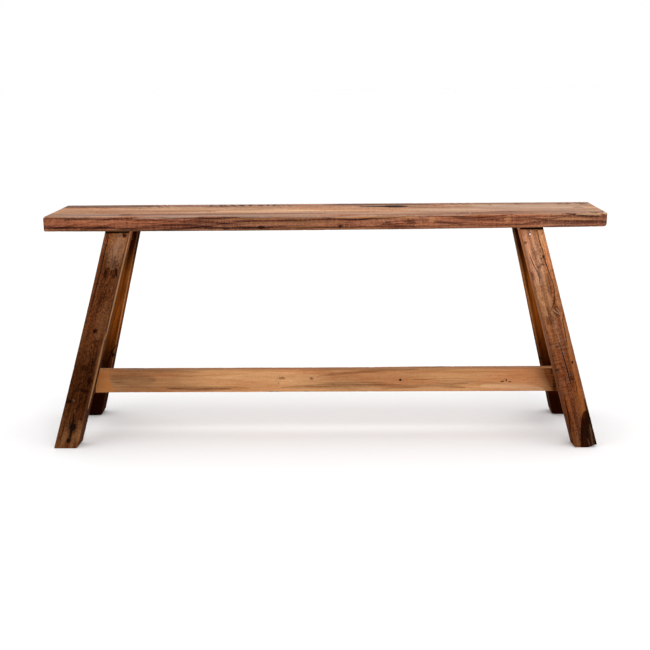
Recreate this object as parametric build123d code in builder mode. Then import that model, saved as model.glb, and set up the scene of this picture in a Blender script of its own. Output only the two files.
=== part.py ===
"""Rustic wooden bench: a plank seat on two splayed end frames, tied by one long stretcher.

Millimetres, +Z up, +X along the bench, -Y towards the front.
The origin is on the floor, under the middle of the seat.
"""

import os
from collections import namedtuple
from math import cos, radians, tan

from build123d import *

# Overall size
bench_length = 1102.0
seat_width = 205.0
bench_height = 462.0
seat_thickness = 29.0

# Seat plank
seat_end_undercut = 2.0
seat_arris_radius = 2.5
seat_corner_radius = 5.0
chip_length = 17.0
chip_width = 13.0
chip_depth = 3.0

# Legs, measured square to their length
leg_width = 46.0
leg_thickness = 43.0
leg_arris_radius = 2.5
leg_inset = 142.5
leg_setback = 25.0
leg_lean = 8.6
left_end_splay = 14.5
right_end_splay = 13.9
housing_depth = 9.0
foot_rounding = 8.0

# Cross rails between the front and rear leg of each end
rail_height = 46.0
rail_thickness = 22.0
rail_recess = 13.0
rail_top_height = 129.0
rail_arris_radius = 1.5
rail_tenon_height = 26.0
rail_tenon_thickness = 10.0
rail_tenon_length = 24.0

# Long stretcher between the two cross rails
stretcher_height = 46.0
stretcher_thickness = 25.0
stretcher_arris_radius = 2.0
stretcher_tenon_height = 28.0
stretcher_tenon_thickness = 12.0

# Top cleats that hold each pair of legs to the seat
cleat_height = 34.0
cleat_thickness = 30.0
cleat_arris_radius = 1.5

# Fasteners
nail_drop = 16.5
nail_offset = 7.0
nail_head_diameter = 5.0
nail_head_thickness = 1.0
nail_diameter = 2.8
nail_length = 62.0
nail_point_length = 3.0
screw_spacing = 34.0
screw_diameter = 4.5
screw_head_diameter = 9.0
screw_head_angle = 90.0
screw_length = 50.0
screw_point_length = 5.0
screw_slot_width = 1.2
screw_slot_depth = 1.4
peg_diameter = 8.0
peg_reach = 8.0
peg_point_chamfer = 1.0
wedge_length = 16.0
wedge_thick_end = 2.8
wedge_thin_end = 1.0

# Fits
fit_clearance = 0.2
cut_overrun = 60.0

# Values worked out from the sizes above
underside_height = bench_height - seat_thickness
leg_depth = leg_thickness / cos(radians(leg_lean))
leg_centre_x = bench_length / 2 - leg_inset
leg_centre_y = seat_width / 2 - leg_setback - leg_depth / 2
rail_middle_height = rail_top_height - rail_height / 2
cleat_underside_height = underside_height - cleat_height
cleat_middle_height = underside_height - cleat_height / 2
stretcher_middle_height = rail_top_height - stretcher_height / 2
screw_head_height = (screw_head_diameter - screw_diameter) / 2 / tan(radians(screw_head_angle / 2))
hung_down = (Align.CENTER, Align.CENTER, Align.MAX)
wedge_base = Plane.XY.offset(stretcher_middle_height - stretcher_tenon_height / 2)

End = namedtuple("End", "name side splay")
Face = namedtuple("Face", "name side")
ends = [End("left", -1, left_end_splay), End("right", 1, right_end_splay)]
faces = [Face("front", -1), Face("rear", 1)]


def leg_frame(end, face):
    """Plane square to a leg at the seat's underside: x across its front, y through it, z up it."""
    upwards = Vector(-end.side * tan(radians(end.splay)), -face.side * tan(radians(leg_lean)), 1)
    centre = Vector(end.side * leg_centre_x, face.side * leg_centre_y, underside_height)
    return Plane(origin=centre, x_dir=(1, 0, 0), z_dir=upwards)


def leg_middle_x(end, height):
    """Distance from the bench's middle to a leg's centre line at a height above the floor."""
    return leg_centre_x + (underside_height - height) * tan(radians(end.splay))


def leg_inward_y(height):
    """Distance from the bench's middle to the face of a leg that looks at its partner."""
    return leg_centre_y - leg_depth / 2 + (underside_height - height) * tan(radians(leg_lean))


def shoulder_plane(end, face):
    """Plane of the leg face that looks at the partner leg, facing the middle of the bench."""
    frame = leg_frame(end, face)
    middle_of_face = frame.from_local_coords(Vector(0, -face.side * leg_thickness / 2, 0))
    return Plane(origin=middle_of_face, z_dir=frame.y_dir * -face.side)


def side_plane(end, face):
    """Plane of the leg face that looks away from the middle along the bench, facing inwards."""
    frame = leg_frame(end, face)
    middle_of_face = frame.from_local_coords(Vector(end.side * leg_width / 2, 0, 0))
    return Plane(origin=middle_of_face, z_dir=frame.x_dir * -end.side)


def nail_plane(end, face):
    """Plane on a leg's outer face where its nail is driven, facing out of the wood."""
    frame = leg_frame(end, face)
    place = Vector(-end.side * nail_offset, face.side * leg_thickness / 2, -nail_drop)
    return Plane(origin=frame.from_local_coords(place), x_dir=(1, 0, 0), z_dir=frame.y_dir * face.side)


def rail_x(end):
    """Signed place along the bench of a cross rail's middle, set back from the leg's inner face."""
    half_leg = leg_width / 2 / cos(radians(end.splay))
    inner_face = leg_middle_x(end, rail_middle_height) - half_leg
    return end.side * (inner_face + rail_recess + rail_thickness / 2)


def rail_inner_x(end):
    """Signed place of the cross rail's face that the stretcher's shoulder meets."""
    return rail_x(end) - end.side * rail_thickness / 2


def rail_outer_x(end):
    """Signed place of the cross rail's face where the stretcher's tenon ends."""
    return rail_x(end) + end.side * rail_thickness / 2


def cleat_x(end):
    """Signed place along the bench of a top cleat's middle, in line with its legs."""
    return end.side * leg_middle_x(end, cleat_middle_height)


def tenon_reach(clearance):
    """Distance from the bench's middle to the end of a cross rail's tenon."""
    return leg_inward_y(rail_middle_height) + rail_tenon_length + clearance


def rail_tenon_box(end, clearance, mode):
    """Both tenons of a cross rail in one bar, or, with a clearance, the mortises for them."""
    with Locations((rail_x(end), 0, rail_middle_height)):
        Box(
            rail_tenon_thickness + 2 * clearance,
            2 * tenon_reach(clearance),
            rail_tenon_height + 2 * clearance,
            mode=mode,
        )


def peg_start(end, face):
    """Plane across a rail peg at its blind end, facing the outer side of the leg."""
    blind_end = rail_x(end) - end.side * (rail_tenon_thickness / 2 + peg_reach)
    middle_of_tenon = face.side * (leg_inward_y(rail_middle_height) + rail_tenon_length / 2)
    return Plane(origin=(blind_end, middle_of_tenon, rail_middle_height), z_dir=(end.side, 0, 0))


def screw_planes(end, height):
    """Planes across the two screws of a top cleat at a height above the floor, facing down."""
    return [Plane(origin=(cleat_x(end), offset, height), z_dir=(0, 0, -1))
            for offset in (-screw_spacing / 2, screw_spacing / 2)]


def wedge_corners(end, clearance):
    """Corners, from above, of the wedge in a stretcher tenon, or of the saw kerf for it."""
    mouth = rail_outer_x(end)
    tip = mouth - end.side * (wedge_length + clearance)
    return [
        (mouth, -wedge_thick_end / 2 - clearance),
        (tip, -wedge_thin_end / 2 - clearance),
        (tip, wedge_thin_end / 2 + clearance),
        (mouth, wedge_thick_end / 2 + clearance),
    ]


def leg_blank(end, face, clearance):
    """A leg's board cut level at the floor and inside the seat, widened all round by a clearance."""
    with BuildPart() as blank:
        with BuildSketch(leg_frame(end, face)):
            Rectangle(leg_width + 2 * clearance, leg_thickness + 2 * clearance)
        extrude(amount=bench_height + cut_overrun, both=True)
        split(bisect_by=Plane.XY.offset(underside_height + housing_depth), keep=Keep.BOTTOM)
        split(bisect_by=Plane.XY, keep=Keep.TOP)
    return blank.part


def make_leg(end, face, blank):
    """A leg with its rounded foot, its mortise, its nail hole and its peg hole."""
    frame = leg_frame(end, face)
    with BuildPart() as leg:
        add(blank)
        foot_edges = leg.faces().sort_by(Axis.Z)[0].edges().sort_by(Axis.X)
        fillet(foot_edges[0] if end.side > 0 else foot_edges[-1], radius=foot_rounding)
        long_edges = leg.edges().filter_by(Axis(frame.origin, frame.z_dir))
        fillet(long_edges + leg.faces().sort_by(Axis.Z)[0].edges(), radius=leg_arris_radius)
        rail_tenon_box(end, fit_clearance, Mode.SUBTRACT)
        with Locations(nail_plane(end, face)):
            CounterBoreHole(
                radius=nail_diameter / 2 + fit_clearance,
                counter_bore_radius=nail_head_diameter / 2 + fit_clearance,
                counter_bore_depth=nail_head_thickness,
                depth=nail_length,
            )
        with BuildSketch(peg_start(end, face)):
            Circle(peg_diameter / 2 + fit_clearance)
        extrude(amount=leg_width, mode=Mode.SUBTRACT)
    return leg.part


def make_cleat(end):
    """A top cleat, with its ends cut to the lean of the legs that it fits between."""
    with BuildPart() as cleat:
        with Locations((cleat_x(end), 0, cleat_middle_height)):
            Box(cleat_thickness, seat_width, cleat_height)
        for face in faces:
            split(bisect_by=shoulder_plane(end, face), keep=Keep.TOP)
        lower_edges = cleat.faces().sort_by(Axis.Z)[0].edges().filter_by(Axis.Y)
        fillet(lower_edges, radius=cleat_arris_radius)
        for face in faces:
            with Locations(nail_plane(end, face)):
                Hole(nail_diameter / 2 + fit_clearance, depth=nail_length + fit_clearance)
        with Locations(screw_planes(end, cleat_underside_height)):
            CounterSinkHole(
                radius=screw_diameter / 2 + fit_clearance,
                counter_sink_radius=screw_head_diameter / 2 + fit_clearance,
                counter_sink_angle=screw_head_angle,
            )
    return cleat.part


def make_rail(end):
    """A cross rail, with a tenon at each end and a through mortise for the long stretcher."""
    with BuildPart() as rail:
        with Locations((rail_x(end), 0, rail_middle_height)):
            Box(rail_thickness, 2 * leg_inward_y(0), rail_height)
        for face in faces:
            split(bisect_by=shoulder_plane(end, face), keep=Keep.TOP)
        fillet(rail.edges().filter_by(Axis.Y), radius=rail_arris_radius)
        rail_tenon_box(end, 0, Mode.ADD)
        with Locations((rail_x(end), 0, stretcher_middle_height)):
            Box(
                rail_thickness,
                stretcher_tenon_thickness + 2 * fit_clearance,
                stretcher_tenon_height + 2 * fit_clearance,
                mode=Mode.SUBTRACT,
            )
        for face in faces:
            with BuildSketch(peg_start(end, face)):
                Circle(peg_diameter / 2 + fit_clearance)
            extrude(amount=leg_width, mode=Mode.SUBTRACT)
    return rail.part


def make_peg(end, face):
    """A peg across a rail's tenon, trimmed flush with the outer side of the leg."""
    with BuildPart() as peg:
        with BuildSketch(peg_start(end, face)):
            Circle(peg_diameter / 2)
        extrude(amount=leg_width)
        blind_end = peg.faces().sort_by(Axis.X)[0 if end.side > 0 else -1]
        chamfer(blind_end.edges(), length=peg_point_chamfer)
        split(bisect_by=side_plane(end, face), keep=Keep.TOP)
    return peg.part


def export(part, name):
    """Labels a finished piece and writes it to its own file."""
    part.label = name
    export_step(part, f"parts/{name}.step")


os.makedirs("parts", exist_ok=True)

# Seat plank, with a housing under it for the top of each leg
leg_housings = [leg_blank(end, face, fit_clearance) for end in ends for face in faces]
with BuildPart() as seat_plank:
    with BuildSketch(Plane.XZ.offset(-seat_width / 2)):
        with BuildLine():
            Polyline(
                (-bench_length / 2 + seat_end_undercut, underside_height),
                (bench_length / 2 - seat_end_undercut, underside_height),
                (bench_length / 2, bench_height),
                (-bench_length / 2, bench_height),
                close=True,
            )
        make_face()
    extrude(amount=seat_width)
    fillet(seat_plank.edges() - seat_plank.edges().filter_by(Plane.XY), radius=seat_corner_radius)
    fillet(seat_plank.faces().filter_by(Axis.Z).edges(), radius=seat_arris_radius)
    for housing in leg_housings:
        add(housing, mode=Mode.SUBTRACT)
    for end in ends:
        with Locations(screw_planes(end, underside_height)):
            Hole(screw_diameter / 2 + fit_clearance, depth=screw_length - cleat_height + fit_clearance)
    # The corner that has split away at the front right
    with BuildSketch(Plane.XY.offset(bench_height - chip_depth)):
        with BuildLine():
            Polyline(
                (bench_length / 2 - chip_length, -seat_width / 2 - cut_overrun),
                (bench_length / 2 - chip_length, -seat_width / 2),
                (bench_length / 2, -seat_width / 2 + chip_width),
                (bench_length / 2 + cut_overrun, -seat_width / 2 + chip_width),
                (bench_length / 2 + cut_overrun, -seat_width / 2 - cut_overrun),
                close=True,
            )
        make_face()
    extrude(amount=chip_depth, mode=Mode.SUBTRACT)
export(seat_plank.part, "seat_plank")

# Four legs, a pair at each end, splayed along the bench and leaning to front and rear
for end in ends:
    for face in faces:
        export(make_leg(end, face, leg_blank(end, face, 0)), f"{face.name}_{end.name}_leg")

# A top cleat and a cross rail between the legs of each pair
for end in ends:
    export(make_cleat(end), f"{end.name}_top_cleat")
    export(make_rail(end), f"{end.name}_cross_rail")

# Long stretcher, with a wedged through tenon at each end
stretcher_shoulders = [rail_inner_x(end) for end in ends]
stretcher_tenon_ends = [rail_outer_x(end) for end in ends]
with BuildPart() as long_stretcher:
    with Locations((sum(stretcher_shoulders) / 2, 0, stretcher_middle_height)):
        Box(stretcher_shoulders[1] - stretcher_shoulders[0], stretcher_thickness, stretcher_height)
    fillet(long_stretcher.edges().filter_by(Axis.X), radius=stretcher_arris_radius)
    with Locations((sum(stretcher_tenon_ends) / 2, 0, stretcher_middle_height)):
        Box(
            stretcher_tenon_ends[1] - stretcher_tenon_ends[0],
            stretcher_tenon_thickness,
            stretcher_tenon_height,
        )
    for end in ends:
        with BuildSketch(wedge_base):
            with BuildLine():
                Polyline(*wedge_corners(end, fit_clearance), close=True)
            make_face()
        extrude(amount=stretcher_tenon_height, mode=Mode.SUBTRACT)
export(long_stretcher.part, "long_stretcher")

# Wedges in the sawn ends of the stretcher's tenons
with BuildPart() as stretcher_wedges:
    for end in ends:
        with BuildSketch(wedge_base):
            with BuildLine():
                Polyline(*wedge_corners(end, 0), close=True)
            make_face()
        extrude(amount=stretcher_tenon_height)
export(stretcher_wedges.part, "stretcher_wedges")

# Pegs through the tenons of the cross rails
pegs = [make_peg(end, face) for end in ends for face in faces]
with BuildPart() as rail_pegs:
    for peg in pegs:
        add(peg)
export(rail_pegs.part, "rail_pegs")

# Nails through the top of each leg into the end of its cleat
with BuildPart() as leg_nails:
    for end in ends:
        for face in faces:
            with Locations(nail_plane(end, face)):
                Cylinder(nail_head_diameter / 2, nail_head_thickness, align=hung_down)
                Cylinder(nail_diameter / 2, nail_length - nail_point_length, align=hung_down)
                with Locations((0, 0, nail_point_length - nail_length)):
                    Cone(0, nail_diameter / 2, nail_point_length, align=hung_down)
export(leg_nails.part, "leg_nails")

# Countersunk screws up through the cleats into the seat
with BuildPart() as cleat_screws:
    for end in ends:
        with Locations(screw_planes(end, cleat_underside_height)):
            Cone(screw_diameter / 2, screw_head_diameter / 2, screw_head_height, align=hung_down)
            Cylinder(screw_diameter / 2, screw_length - screw_point_length, align=hung_down)
            with Locations((0, 0, screw_point_length - screw_length)):
                Cone(0, screw_diameter / 2, screw_point_length, align=hung_down)
            Box(screw_slot_width, screw_head_diameter, screw_slot_depth, align=hung_down, mode=Mode.SUBTRACT)
export(cleat_screws.part, "cleat_screws")
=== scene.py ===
"""Looks of a rustic wooden bench of reclaimed boards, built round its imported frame."""

import math
from collections import namedtuple
from functools import reduce

import bmesh
import bpy
from bpy.props import FloatProperty, FloatVectorProperty, IntProperty, PointerProperty
from mathutils import Matrix, Vector, noise


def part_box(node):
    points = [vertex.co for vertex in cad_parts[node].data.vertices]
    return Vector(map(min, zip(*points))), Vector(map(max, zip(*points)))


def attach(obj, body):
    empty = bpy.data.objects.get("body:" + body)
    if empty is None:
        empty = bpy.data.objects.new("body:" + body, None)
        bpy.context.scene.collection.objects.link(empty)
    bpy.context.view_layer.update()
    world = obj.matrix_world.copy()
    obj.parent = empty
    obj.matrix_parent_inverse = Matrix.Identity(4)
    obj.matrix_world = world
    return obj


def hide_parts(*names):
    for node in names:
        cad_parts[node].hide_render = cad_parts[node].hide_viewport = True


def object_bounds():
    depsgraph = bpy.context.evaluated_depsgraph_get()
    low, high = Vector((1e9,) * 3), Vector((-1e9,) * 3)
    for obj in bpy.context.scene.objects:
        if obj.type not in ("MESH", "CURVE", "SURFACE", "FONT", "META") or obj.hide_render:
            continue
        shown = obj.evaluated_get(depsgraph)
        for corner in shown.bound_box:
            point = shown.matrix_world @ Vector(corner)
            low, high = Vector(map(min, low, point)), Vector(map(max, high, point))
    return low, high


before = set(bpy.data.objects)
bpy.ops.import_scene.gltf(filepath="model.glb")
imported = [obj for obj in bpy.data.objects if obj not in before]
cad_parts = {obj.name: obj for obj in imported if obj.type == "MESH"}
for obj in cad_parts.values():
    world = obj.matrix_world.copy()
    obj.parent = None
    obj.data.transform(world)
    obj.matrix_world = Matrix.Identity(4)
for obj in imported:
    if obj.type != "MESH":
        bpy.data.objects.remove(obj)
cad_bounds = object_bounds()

bl_info = {
    "name": "Rustic Wooden Bench",
    "version": (1, 0, 0),
    "blender": (4, 5, 0),
    "location": "View3D > Sidebar > Bench",
    "description": "Builds the worn boards, the fasteners and the studio stage of a rustic wooden bench",
    "category": "Add Mesh",
}

BODY = "root"
PHOTO_SIDE = 650
SENSOR_WIDTH = 36.0
MILLIMETRE = 0.001

# A board lies along its own x, with its width along y and its thickness along z
Board = namedtuple("Board", "node frame size")

# One face of a board that marks are placed on: the axis and side that it faces, and the axis across it
BoardFace = namedtuple("BoardFace", "axis side across")
TOP = BoardFace(2, 1, 1)
FRONT_EDGE = BoardFace(1, -1, 2)
LEG_FRONT = BoardFace(2, -1, 1)

# A stroke follows three pixels of the photograph. Width is in metres across the board.
Stroke = namedtuple("Stroke", "kind points width strength")
# A blot lies round one pixel. Length and width are in metres along and across the board.
Blot = namedtuple("Blot", "kind point length width strength")
# A zone covers a board on one side of a line across it: 1 towards its far end, -1 towards its start.
Zone = namedtuple("Zone", "kind points side softness strength")


def colour(red, green, blue):
    """Scene colour of a screen colour given from 0 to 255."""
    def linear(value):
        share = value / 255
        return share / 12.92 if share <= 0.04045 else ((share + 0.055) / 1.055) ** 2.4
    return (linear(red), linear(green), linear(blue))


def colour_property(name, description, *screen_colour):
    return FloatVectorProperty(name=name, description=description, default=colour(*screen_colour),
                               subtype="COLOR", size=3, min=0.0, max=1.0)


def length_property(name, description, default):
    return FloatProperty(name=name, description=description, default=default, unit="LENGTH", precision=5)


class BenchSizes(bpy.types.PropertyGroup):
    """Sizes of the boards' worn shapes."""
    seat_arris: length_property("Seat arris", "Rounding of the seat's long edges", 0.0028)
    seat_corner: length_property("Seat corner", "Rounding of the seat's corners seen from above", 0.0016)
    seat_left_top: length_property("Seat left top", "Rounding of the left end's upper edge", 0.0056)
    seat_right_top: length_property("Seat right top", "Rounding of the right end's upper edge", 0.0014)
    seat_left_foot: length_property("Seat left foot", "Rounding of the left end's lower edge", 0.0036)
    seat_right_foot: length_property("Seat right foot", "Rounding of the right end's lower edge", 0.0074)
    slit_width: length_property("Slit width", "Half the width of the open slit in the seat's top", 0.0130)
    slit_depth: length_property("Slit depth", "Depth of the open slit in the seat's top", 0.0036)
    seat_undercut: length_property("Seat undercut", "How far each end slopes in to the underside", 0.0006)
    chip_start: length_property("Chip start", "Start of the broken edge, from the seat's middle", 0.482)
    chip_end: length_property("Chip end", "End of the broken edge, from the seat's middle", 0.548)
    chip_width: length_property("Chip width", "Width of the broken edge on the seat's top", 0.0100)
    chip_depth: length_property("Chip depth", "Depth of the broken edge", 0.0030)
    leg_thickness: length_property("Leg thickness", "Thickness of a leg from front to rear", 0.043)
    leg_arris: length_property("Leg arris", "Rounding of a leg's long edges", 0.0024)
    foot_lift: length_property("Foot lift", "How far the right front foot's outer edge has worn away", 0.0055)
    lean: FloatProperty(name="Lean", description="Slope of the legs to front and rear",
                        default=math.radians(8.6), subtype="ANGLE")
    small_arris: length_property("Small arris", "Rounding of the edges of the other boards", 0.0018)
    rail_tenon: length_property("Rail tenon", "Length of a cross rail's tenon in a leg", 0.024)
    hidden_end: length_property("Hidden end", "How far a rail or cleat runs into the legs", 0.006)
    tenon_thickness: length_property("Tenon thickness", "Thickness of the stretcher's through tenon", 0.012)
    tenon_height: length_property("Tenon height", "Height of the stretcher's through tenon", 0.028)
    tenon_root: length_property("Tenon root", "How far the tenon reaches into the stretcher's end", 0.004)
    tenon_arris: length_property("Tenon arris", "Rounding of the tenon's edges", 0.0006)
    waviness: length_property("Waviness", "Unevenness of the hand-worked faces", 0.00045)
    crack_gap: length_property("Crack gap", "Width of a crack at the surface", 0.0014)
    crack_depth: length_property("Crack depth", "Depth of a crack", 0.0032)
    grid: length_property("Grid", "Size of the mesh's cells along a board", 0.0025)


class BenchColours(bpy.types.PropertyGroup):
    """Colours of the wood and metal."""
    # The seat's top is paler and greyer than its edges, partly from weathering and partly as painted sheen.
    seat_light_and_sheen: colour_property("Seat light", "Light wood of the seat's top", 236, 186, 146)
    seat_dark: colour_property("Seat dark", "Dark grain of the seat's top", 150, 106, 78)
    seat_grey_and_sheen: colour_property("Seat grey", "Weathered wood of the seat's top", 184, 158, 142)
    edge_light: colour_property("Edge light", "Light wood of the seat's edges", 180, 122, 90)
    edge_dark: colour_property("Edge dark", "Dark grain of the seat's edges", 84, 46, 35)
    dark_leg_light: colour_property("Dark leg light", "Light wood of the left front leg", 176, 118, 72)
    dark_leg_dark: colour_property("Dark leg dark", "Dark grain of the left front leg", 104, 60, 34)
    light_leg_light: colour_property("Light leg light", "Light wood of the right front leg", 226, 166, 120)
    light_leg_dark: colour_property("Light leg dark", "Dark grain of the right front leg", 140, 86, 56)
    rear_leg_light: colour_property("Rear leg light", "Light wood of the rear legs", 152, 84, 28)
    rear_leg_dark: colour_property("Rear leg dark", "Dark grain of the rear legs", 92, 44, 12)
    stretcher_light: colour_property("Stretcher light", "Light wood of the stretcher", 214, 162, 114)
    stretcher_dark: colour_property("Stretcher dark", "Dark grain of the stretcher", 166, 112, 68)
    inner_light: colour_property("Inner light", "Light wood of the rails and cleats", 150, 100, 62)
    inner_dark: colour_property("Inner dark", "Dark grain of the rails and cleats", 84, 50, 30)
    peg_wood: colour_property("Peg wood", "Wood of the pegs and wedges", 170, 124, 84)
    # Worn wood, and also painted highlight along the inner sides of the rear legs.
    worn: colour_property("Worn wood", "Bare wood where an edge is rubbed", 190, 136, 88)
    # Dust and scuffs, and also painted highlight and sheen along the seat's front arris and on its top.
    dust_and_sheen: colour_property("Dust_And_Sheen", "Pale grey dust and scuffs", 176, 154, 138)
    # Stains, and also painted shade where dark marks stand for shade beside the legs on the stretcher and
    # rear legs.
    stain_and_shade: colour_property("Stain_And_Shade", "Multiplied into the wood where it is stained", 112, 78, 62)
    warm: colour_property("Warm", "Multiplied into the wood where it is more orange", 255, 226, 190)
    red: colour_property("Red", "Multiplied into the wood where it is redder", 243, 212, 198)
    fresh: colour_property("Fresh", "Pale wood where a splinter has broken off", 226, 186, 146)
    # Grime, and also painted shade: the tones and the shade marks multiply it in where shade falls.
    grime_and_shade: colour_property("Grime_And_Shade", "Multiplied into the wood where age darkens it", 97.18, 74.81, 52.53)
    # Also the painted shadow under the seat across the tops of the front legs.
    crack: colour_property("Crack", "Bottom of a crack", 20, 11, 7)
    bright_metal: colour_property("Bright metal", "Head of the newest nail", 214, 216, 222)
    dull_metal: colour_property("Dull metal", "Old screws", 74, 62, 56)
    rust: colour_property("Rust", "Old nails", 122, 80, 54)
    floor: colour_property("Floor", "Studio floor", 250, 250, 250)


class BenchCamera(bpy.types.PropertyGroup):
    """Where the photograph was taken from."""
    place: FloatVectorProperty(name="Place", description="Where the camera stands", size=3, unit="LENGTH",
                               subtype="TRANSLATION", precision=4, default=(0.05999, -2.46345, 0.72864))
    lens: FloatProperty(name="Lens", description="Focal length in millimetres", default=67.24, unit="CAMERA")
    yaw: FloatProperty(name="Yaw", description="Turn to the right", default=-0.0250, subtype="ANGLE")
    pitch: FloatProperty(name="Pitch", description="Turn downwards", default=0.2031, subtype="ANGLE")
    roll: FloatProperty(name="Roll", description="Turn about the line of sight", default=-0.0094,
                        subtype="ANGLE")


class BenchStudio(bpy.types.PropertyGroup):
    """Floor, lamp and background light."""
    floor_size: length_property("Floor size", "From the floor's middle to its edges", 60.0)
    lamp_place: FloatVectorProperty(name="Lamp place", description="Where the soft lamp hangs", size=3,
                                    unit="LENGTH", subtype="TRANSLATION", default=(0.7, -3.3, 1.9))
    lamp_size: length_property("Lamp size", "Side of the square lamp", 1.8)
    lamp_power: FloatProperty(name="Lamp power", description="Power of the lamp", default=48.0, unit="POWER")
    level_glow: FloatProperty(name="Level glow", description="Light from all round", default=0.30)
    upper_glow: FloatProperty(name="Upper glow", description="Light from straight above", default=1.45)


class BenchSeed(bpy.types.PropertyGroup):
    """Choice of the random wear."""
    number: IntProperty(name="Seed", description="Chooses another pattern of wear", default=3, min=0)


def camera_axes(settings):
    """The camera's right, up and forward directions."""
    forward = Vector((math.sin(settings.yaw) * math.cos(settings.pitch),
                      math.cos(settings.yaw) * math.cos(settings.pitch), -math.sin(settings.pitch)))
    right = Vector((math.cos(settings.yaw), -math.sin(settings.yaw), 0))
    up = right.cross(forward)
    turn = Matrix.Rotation(-settings.roll, 3, forward)
    return turn @ right, turn @ up, forward


def place_on_board(board, face, pixel):
    """Where the photograph's pixel lies on a face of a board, in the board's own axes."""
    settings = bpy.context.scene.bench_camera
    right, up, forward = camera_axes(settings)
    pixels = settings.lens / SENSOR_WIDTH * PHOTO_SIDE
    middle = PHOTO_SIDE / 2
    ray = forward + right * ((pixel[0] - middle) / pixels) - up * ((pixel[1] - middle) / pixels)
    to_board = board.frame.inverted()
    eye = to_board @ Vector(settings.place)
    ray = to_board.to_3x3() @ ray
    level = face.side * board.size[face.axis] / 2
    return eye + ray * ((level - eye[face.axis]) / ray[face.axis])


# Boards


def level_board(node):
    """A board that lies along the bench, as large as its CAD node."""
    low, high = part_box(node)
    return Board(node, Matrix.Translation((low + high) / 2), high - low)


def cross_board(node, cut):
    """A board that lies from front to rear, shortened by a cut at each end."""
    low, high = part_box(node)
    turn = Matrix.Rotation(math.pi / 2, 4, "Z")
    size = Vector((high.y - low.y - 2 * cut, high.x - low.x, high.z - low.z))
    return Board(node, Matrix.Translation((low + high) / 2) @ turn, size)


def leg_board(node):
    """A leg's board: x up along it, y to the right across it, z to the rear through it."""
    sizes = bpy.context.scene.bench_sizes
    leg = LEGS[node]
    low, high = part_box(node)
    splay = math.radians(leg.splay)
    lean = -sizes.lean if node.startswith("front") else sizes.lean
    upwards = Vector((-math.tan(splay), -math.tan(lean), 1)).normalized()
    across = (Vector((1, 0, 0)) - upwards * upwards.x).normalized()
    through = upwards.cross(across)
    turn = Matrix((upwards, across, through)).transposed().to_4x4()
    size = Vector(((high.z - low.z) / upwards.z, leg.width, sizes.leg_thickness))
    middle = (low + high) / 2 + Vector((leg.shift, 0, 0))
    return Board(node, Matrix.Translation(middle) @ turn, size)


# How much finer the grid is near a board's ends, sides and faces than at its middle
CROWDING = (0.6, 0.8, 0.8)
# Distance within which two points count as one
TOUCH = 1e-6


def crowd(share, strength):
    """Moves a place between -0.5 and 0.5 towards the nearer end, so that cells there are smaller."""
    return share + strength * math.sin(2 * math.pi * share) / (2 * math.pi)


def board_blank(board, cells):
    """A bmesh block of a board's size, cut into a grid that is finer near its edges."""
    block = bmesh.new()
    bmesh.ops.create_cube(block, size=1.0)
    for axis, count in enumerate(cells):
        edges = [edge for edge in block.edges
                 if abs(edge.verts[0].co[axis] - edge.verts[1].co[axis]) > TOUCH]
        bmesh.ops.subdivide_edges(block, edges=edges, cuts=count - 1, use_grid_fill=True)
    for vertex in block.verts:
        for axis, strength in enumerate(CROWDING):
            vertex.co[axis] = crowd(vertex.co[axis], strength)
    bmesh.ops.scale(block, vec=board.size, verts=block.verts)
    return block


def round_edge(place, half, first, second, radius):
    """Moves a point of a block's surface onto the arc between two of its faces."""
    from_first = half[first] - abs(place[first])
    from_second = half[second] - abs(place[second])
    if from_first < radius and from_second < radius:
        reach = max(radius, math.hypot(radius - from_first, radius - from_second))
        for axis, inwards in ((first, from_first), (second, from_second)):
            level = half[axis] - radius + (radius - inwards) * radius / reach
            place[axis] = math.copysign(level, place[axis])


def fade(value, low, high):
    """Rises smoothly from 0 to 1 as the value goes from low to high."""
    share = min(1.0, max(0.0, (value - low) / (high - low)))
    return share * share * (3 - 2 * share)


def worn_radius(base, along, corner, seed):
    """Radius of a long edge at a place along it: rubbed unevenly, with a nick here and there."""
    rubbed, nick, small_nick = (noise.noise(Vector((along * changes, corner * apart + start, seed)))
                                for changes, apart, start in ((9, 7.3, 0), (70, 3.1, 40), (190, 5.7, 80)))
    nick = fade(nick, 0.25, 0.6)
    small_nick = fade(small_nick, 0.2, 0.6)
    return base * (1 + 0.45 * rubbed + 0.9 * nick + 0.35 * small_nick)


def worn_surface(place, half, amount, seed):
    """Pulls a point of the surface inwards by an uneven amount, as hand tools leave it."""
    long_wave = noise.noise(Vector((place.x * 7, place.y * 24, place.z * 24 + seed)))
    short_wave = noise.noise(Vector((place.x * 45, place.y * 90, place.z * 90 + seed)))
    pull = amount * (0.75 + 0.5 * long_wave + 0.25 * short_wave)
    for axis, share in enumerate((0.15, 1.0, 1.0)):
        if half[axis] - abs(place[axis]) < 10 * TOUCH:
            place[axis] -= math.copysign(pull * share, place[axis])


# Roundings of a board's two ends, each as its start and its far end
Ends = namedtuple("Ends", "upper lower")


def shape_board(block, board, arris, ends, corner, seed):
    """Rounds and wears a board's blank."""
    sizes = bpy.context.scene.bench_sizes
    half = board.size / 2
    for vertex in block.verts:
        place = vertex.co
        which = (1 if place.y > 0 else 0) + (2 if place.z > 0 else 0)
        worn_surface(place, half, sizes.waviness, seed)
        round_edge(place, half, 1, 2, worn_radius(arris, place.x, which, seed))
        start, far = ends.upper if place.z > 0 else ends.lower
        round_edge(place, half, 0, 2, start if place.x < 0 else far)
        round_edge(place, half, 0, 1, corner)


def shape_evenly(block, board, arris, seed):
    """Wears a board's blank, with the same rounding along all of its edges."""
    shape_board(block, board, arris, Ends((arris, arris), (arris, arris)), arris, seed)


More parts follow.
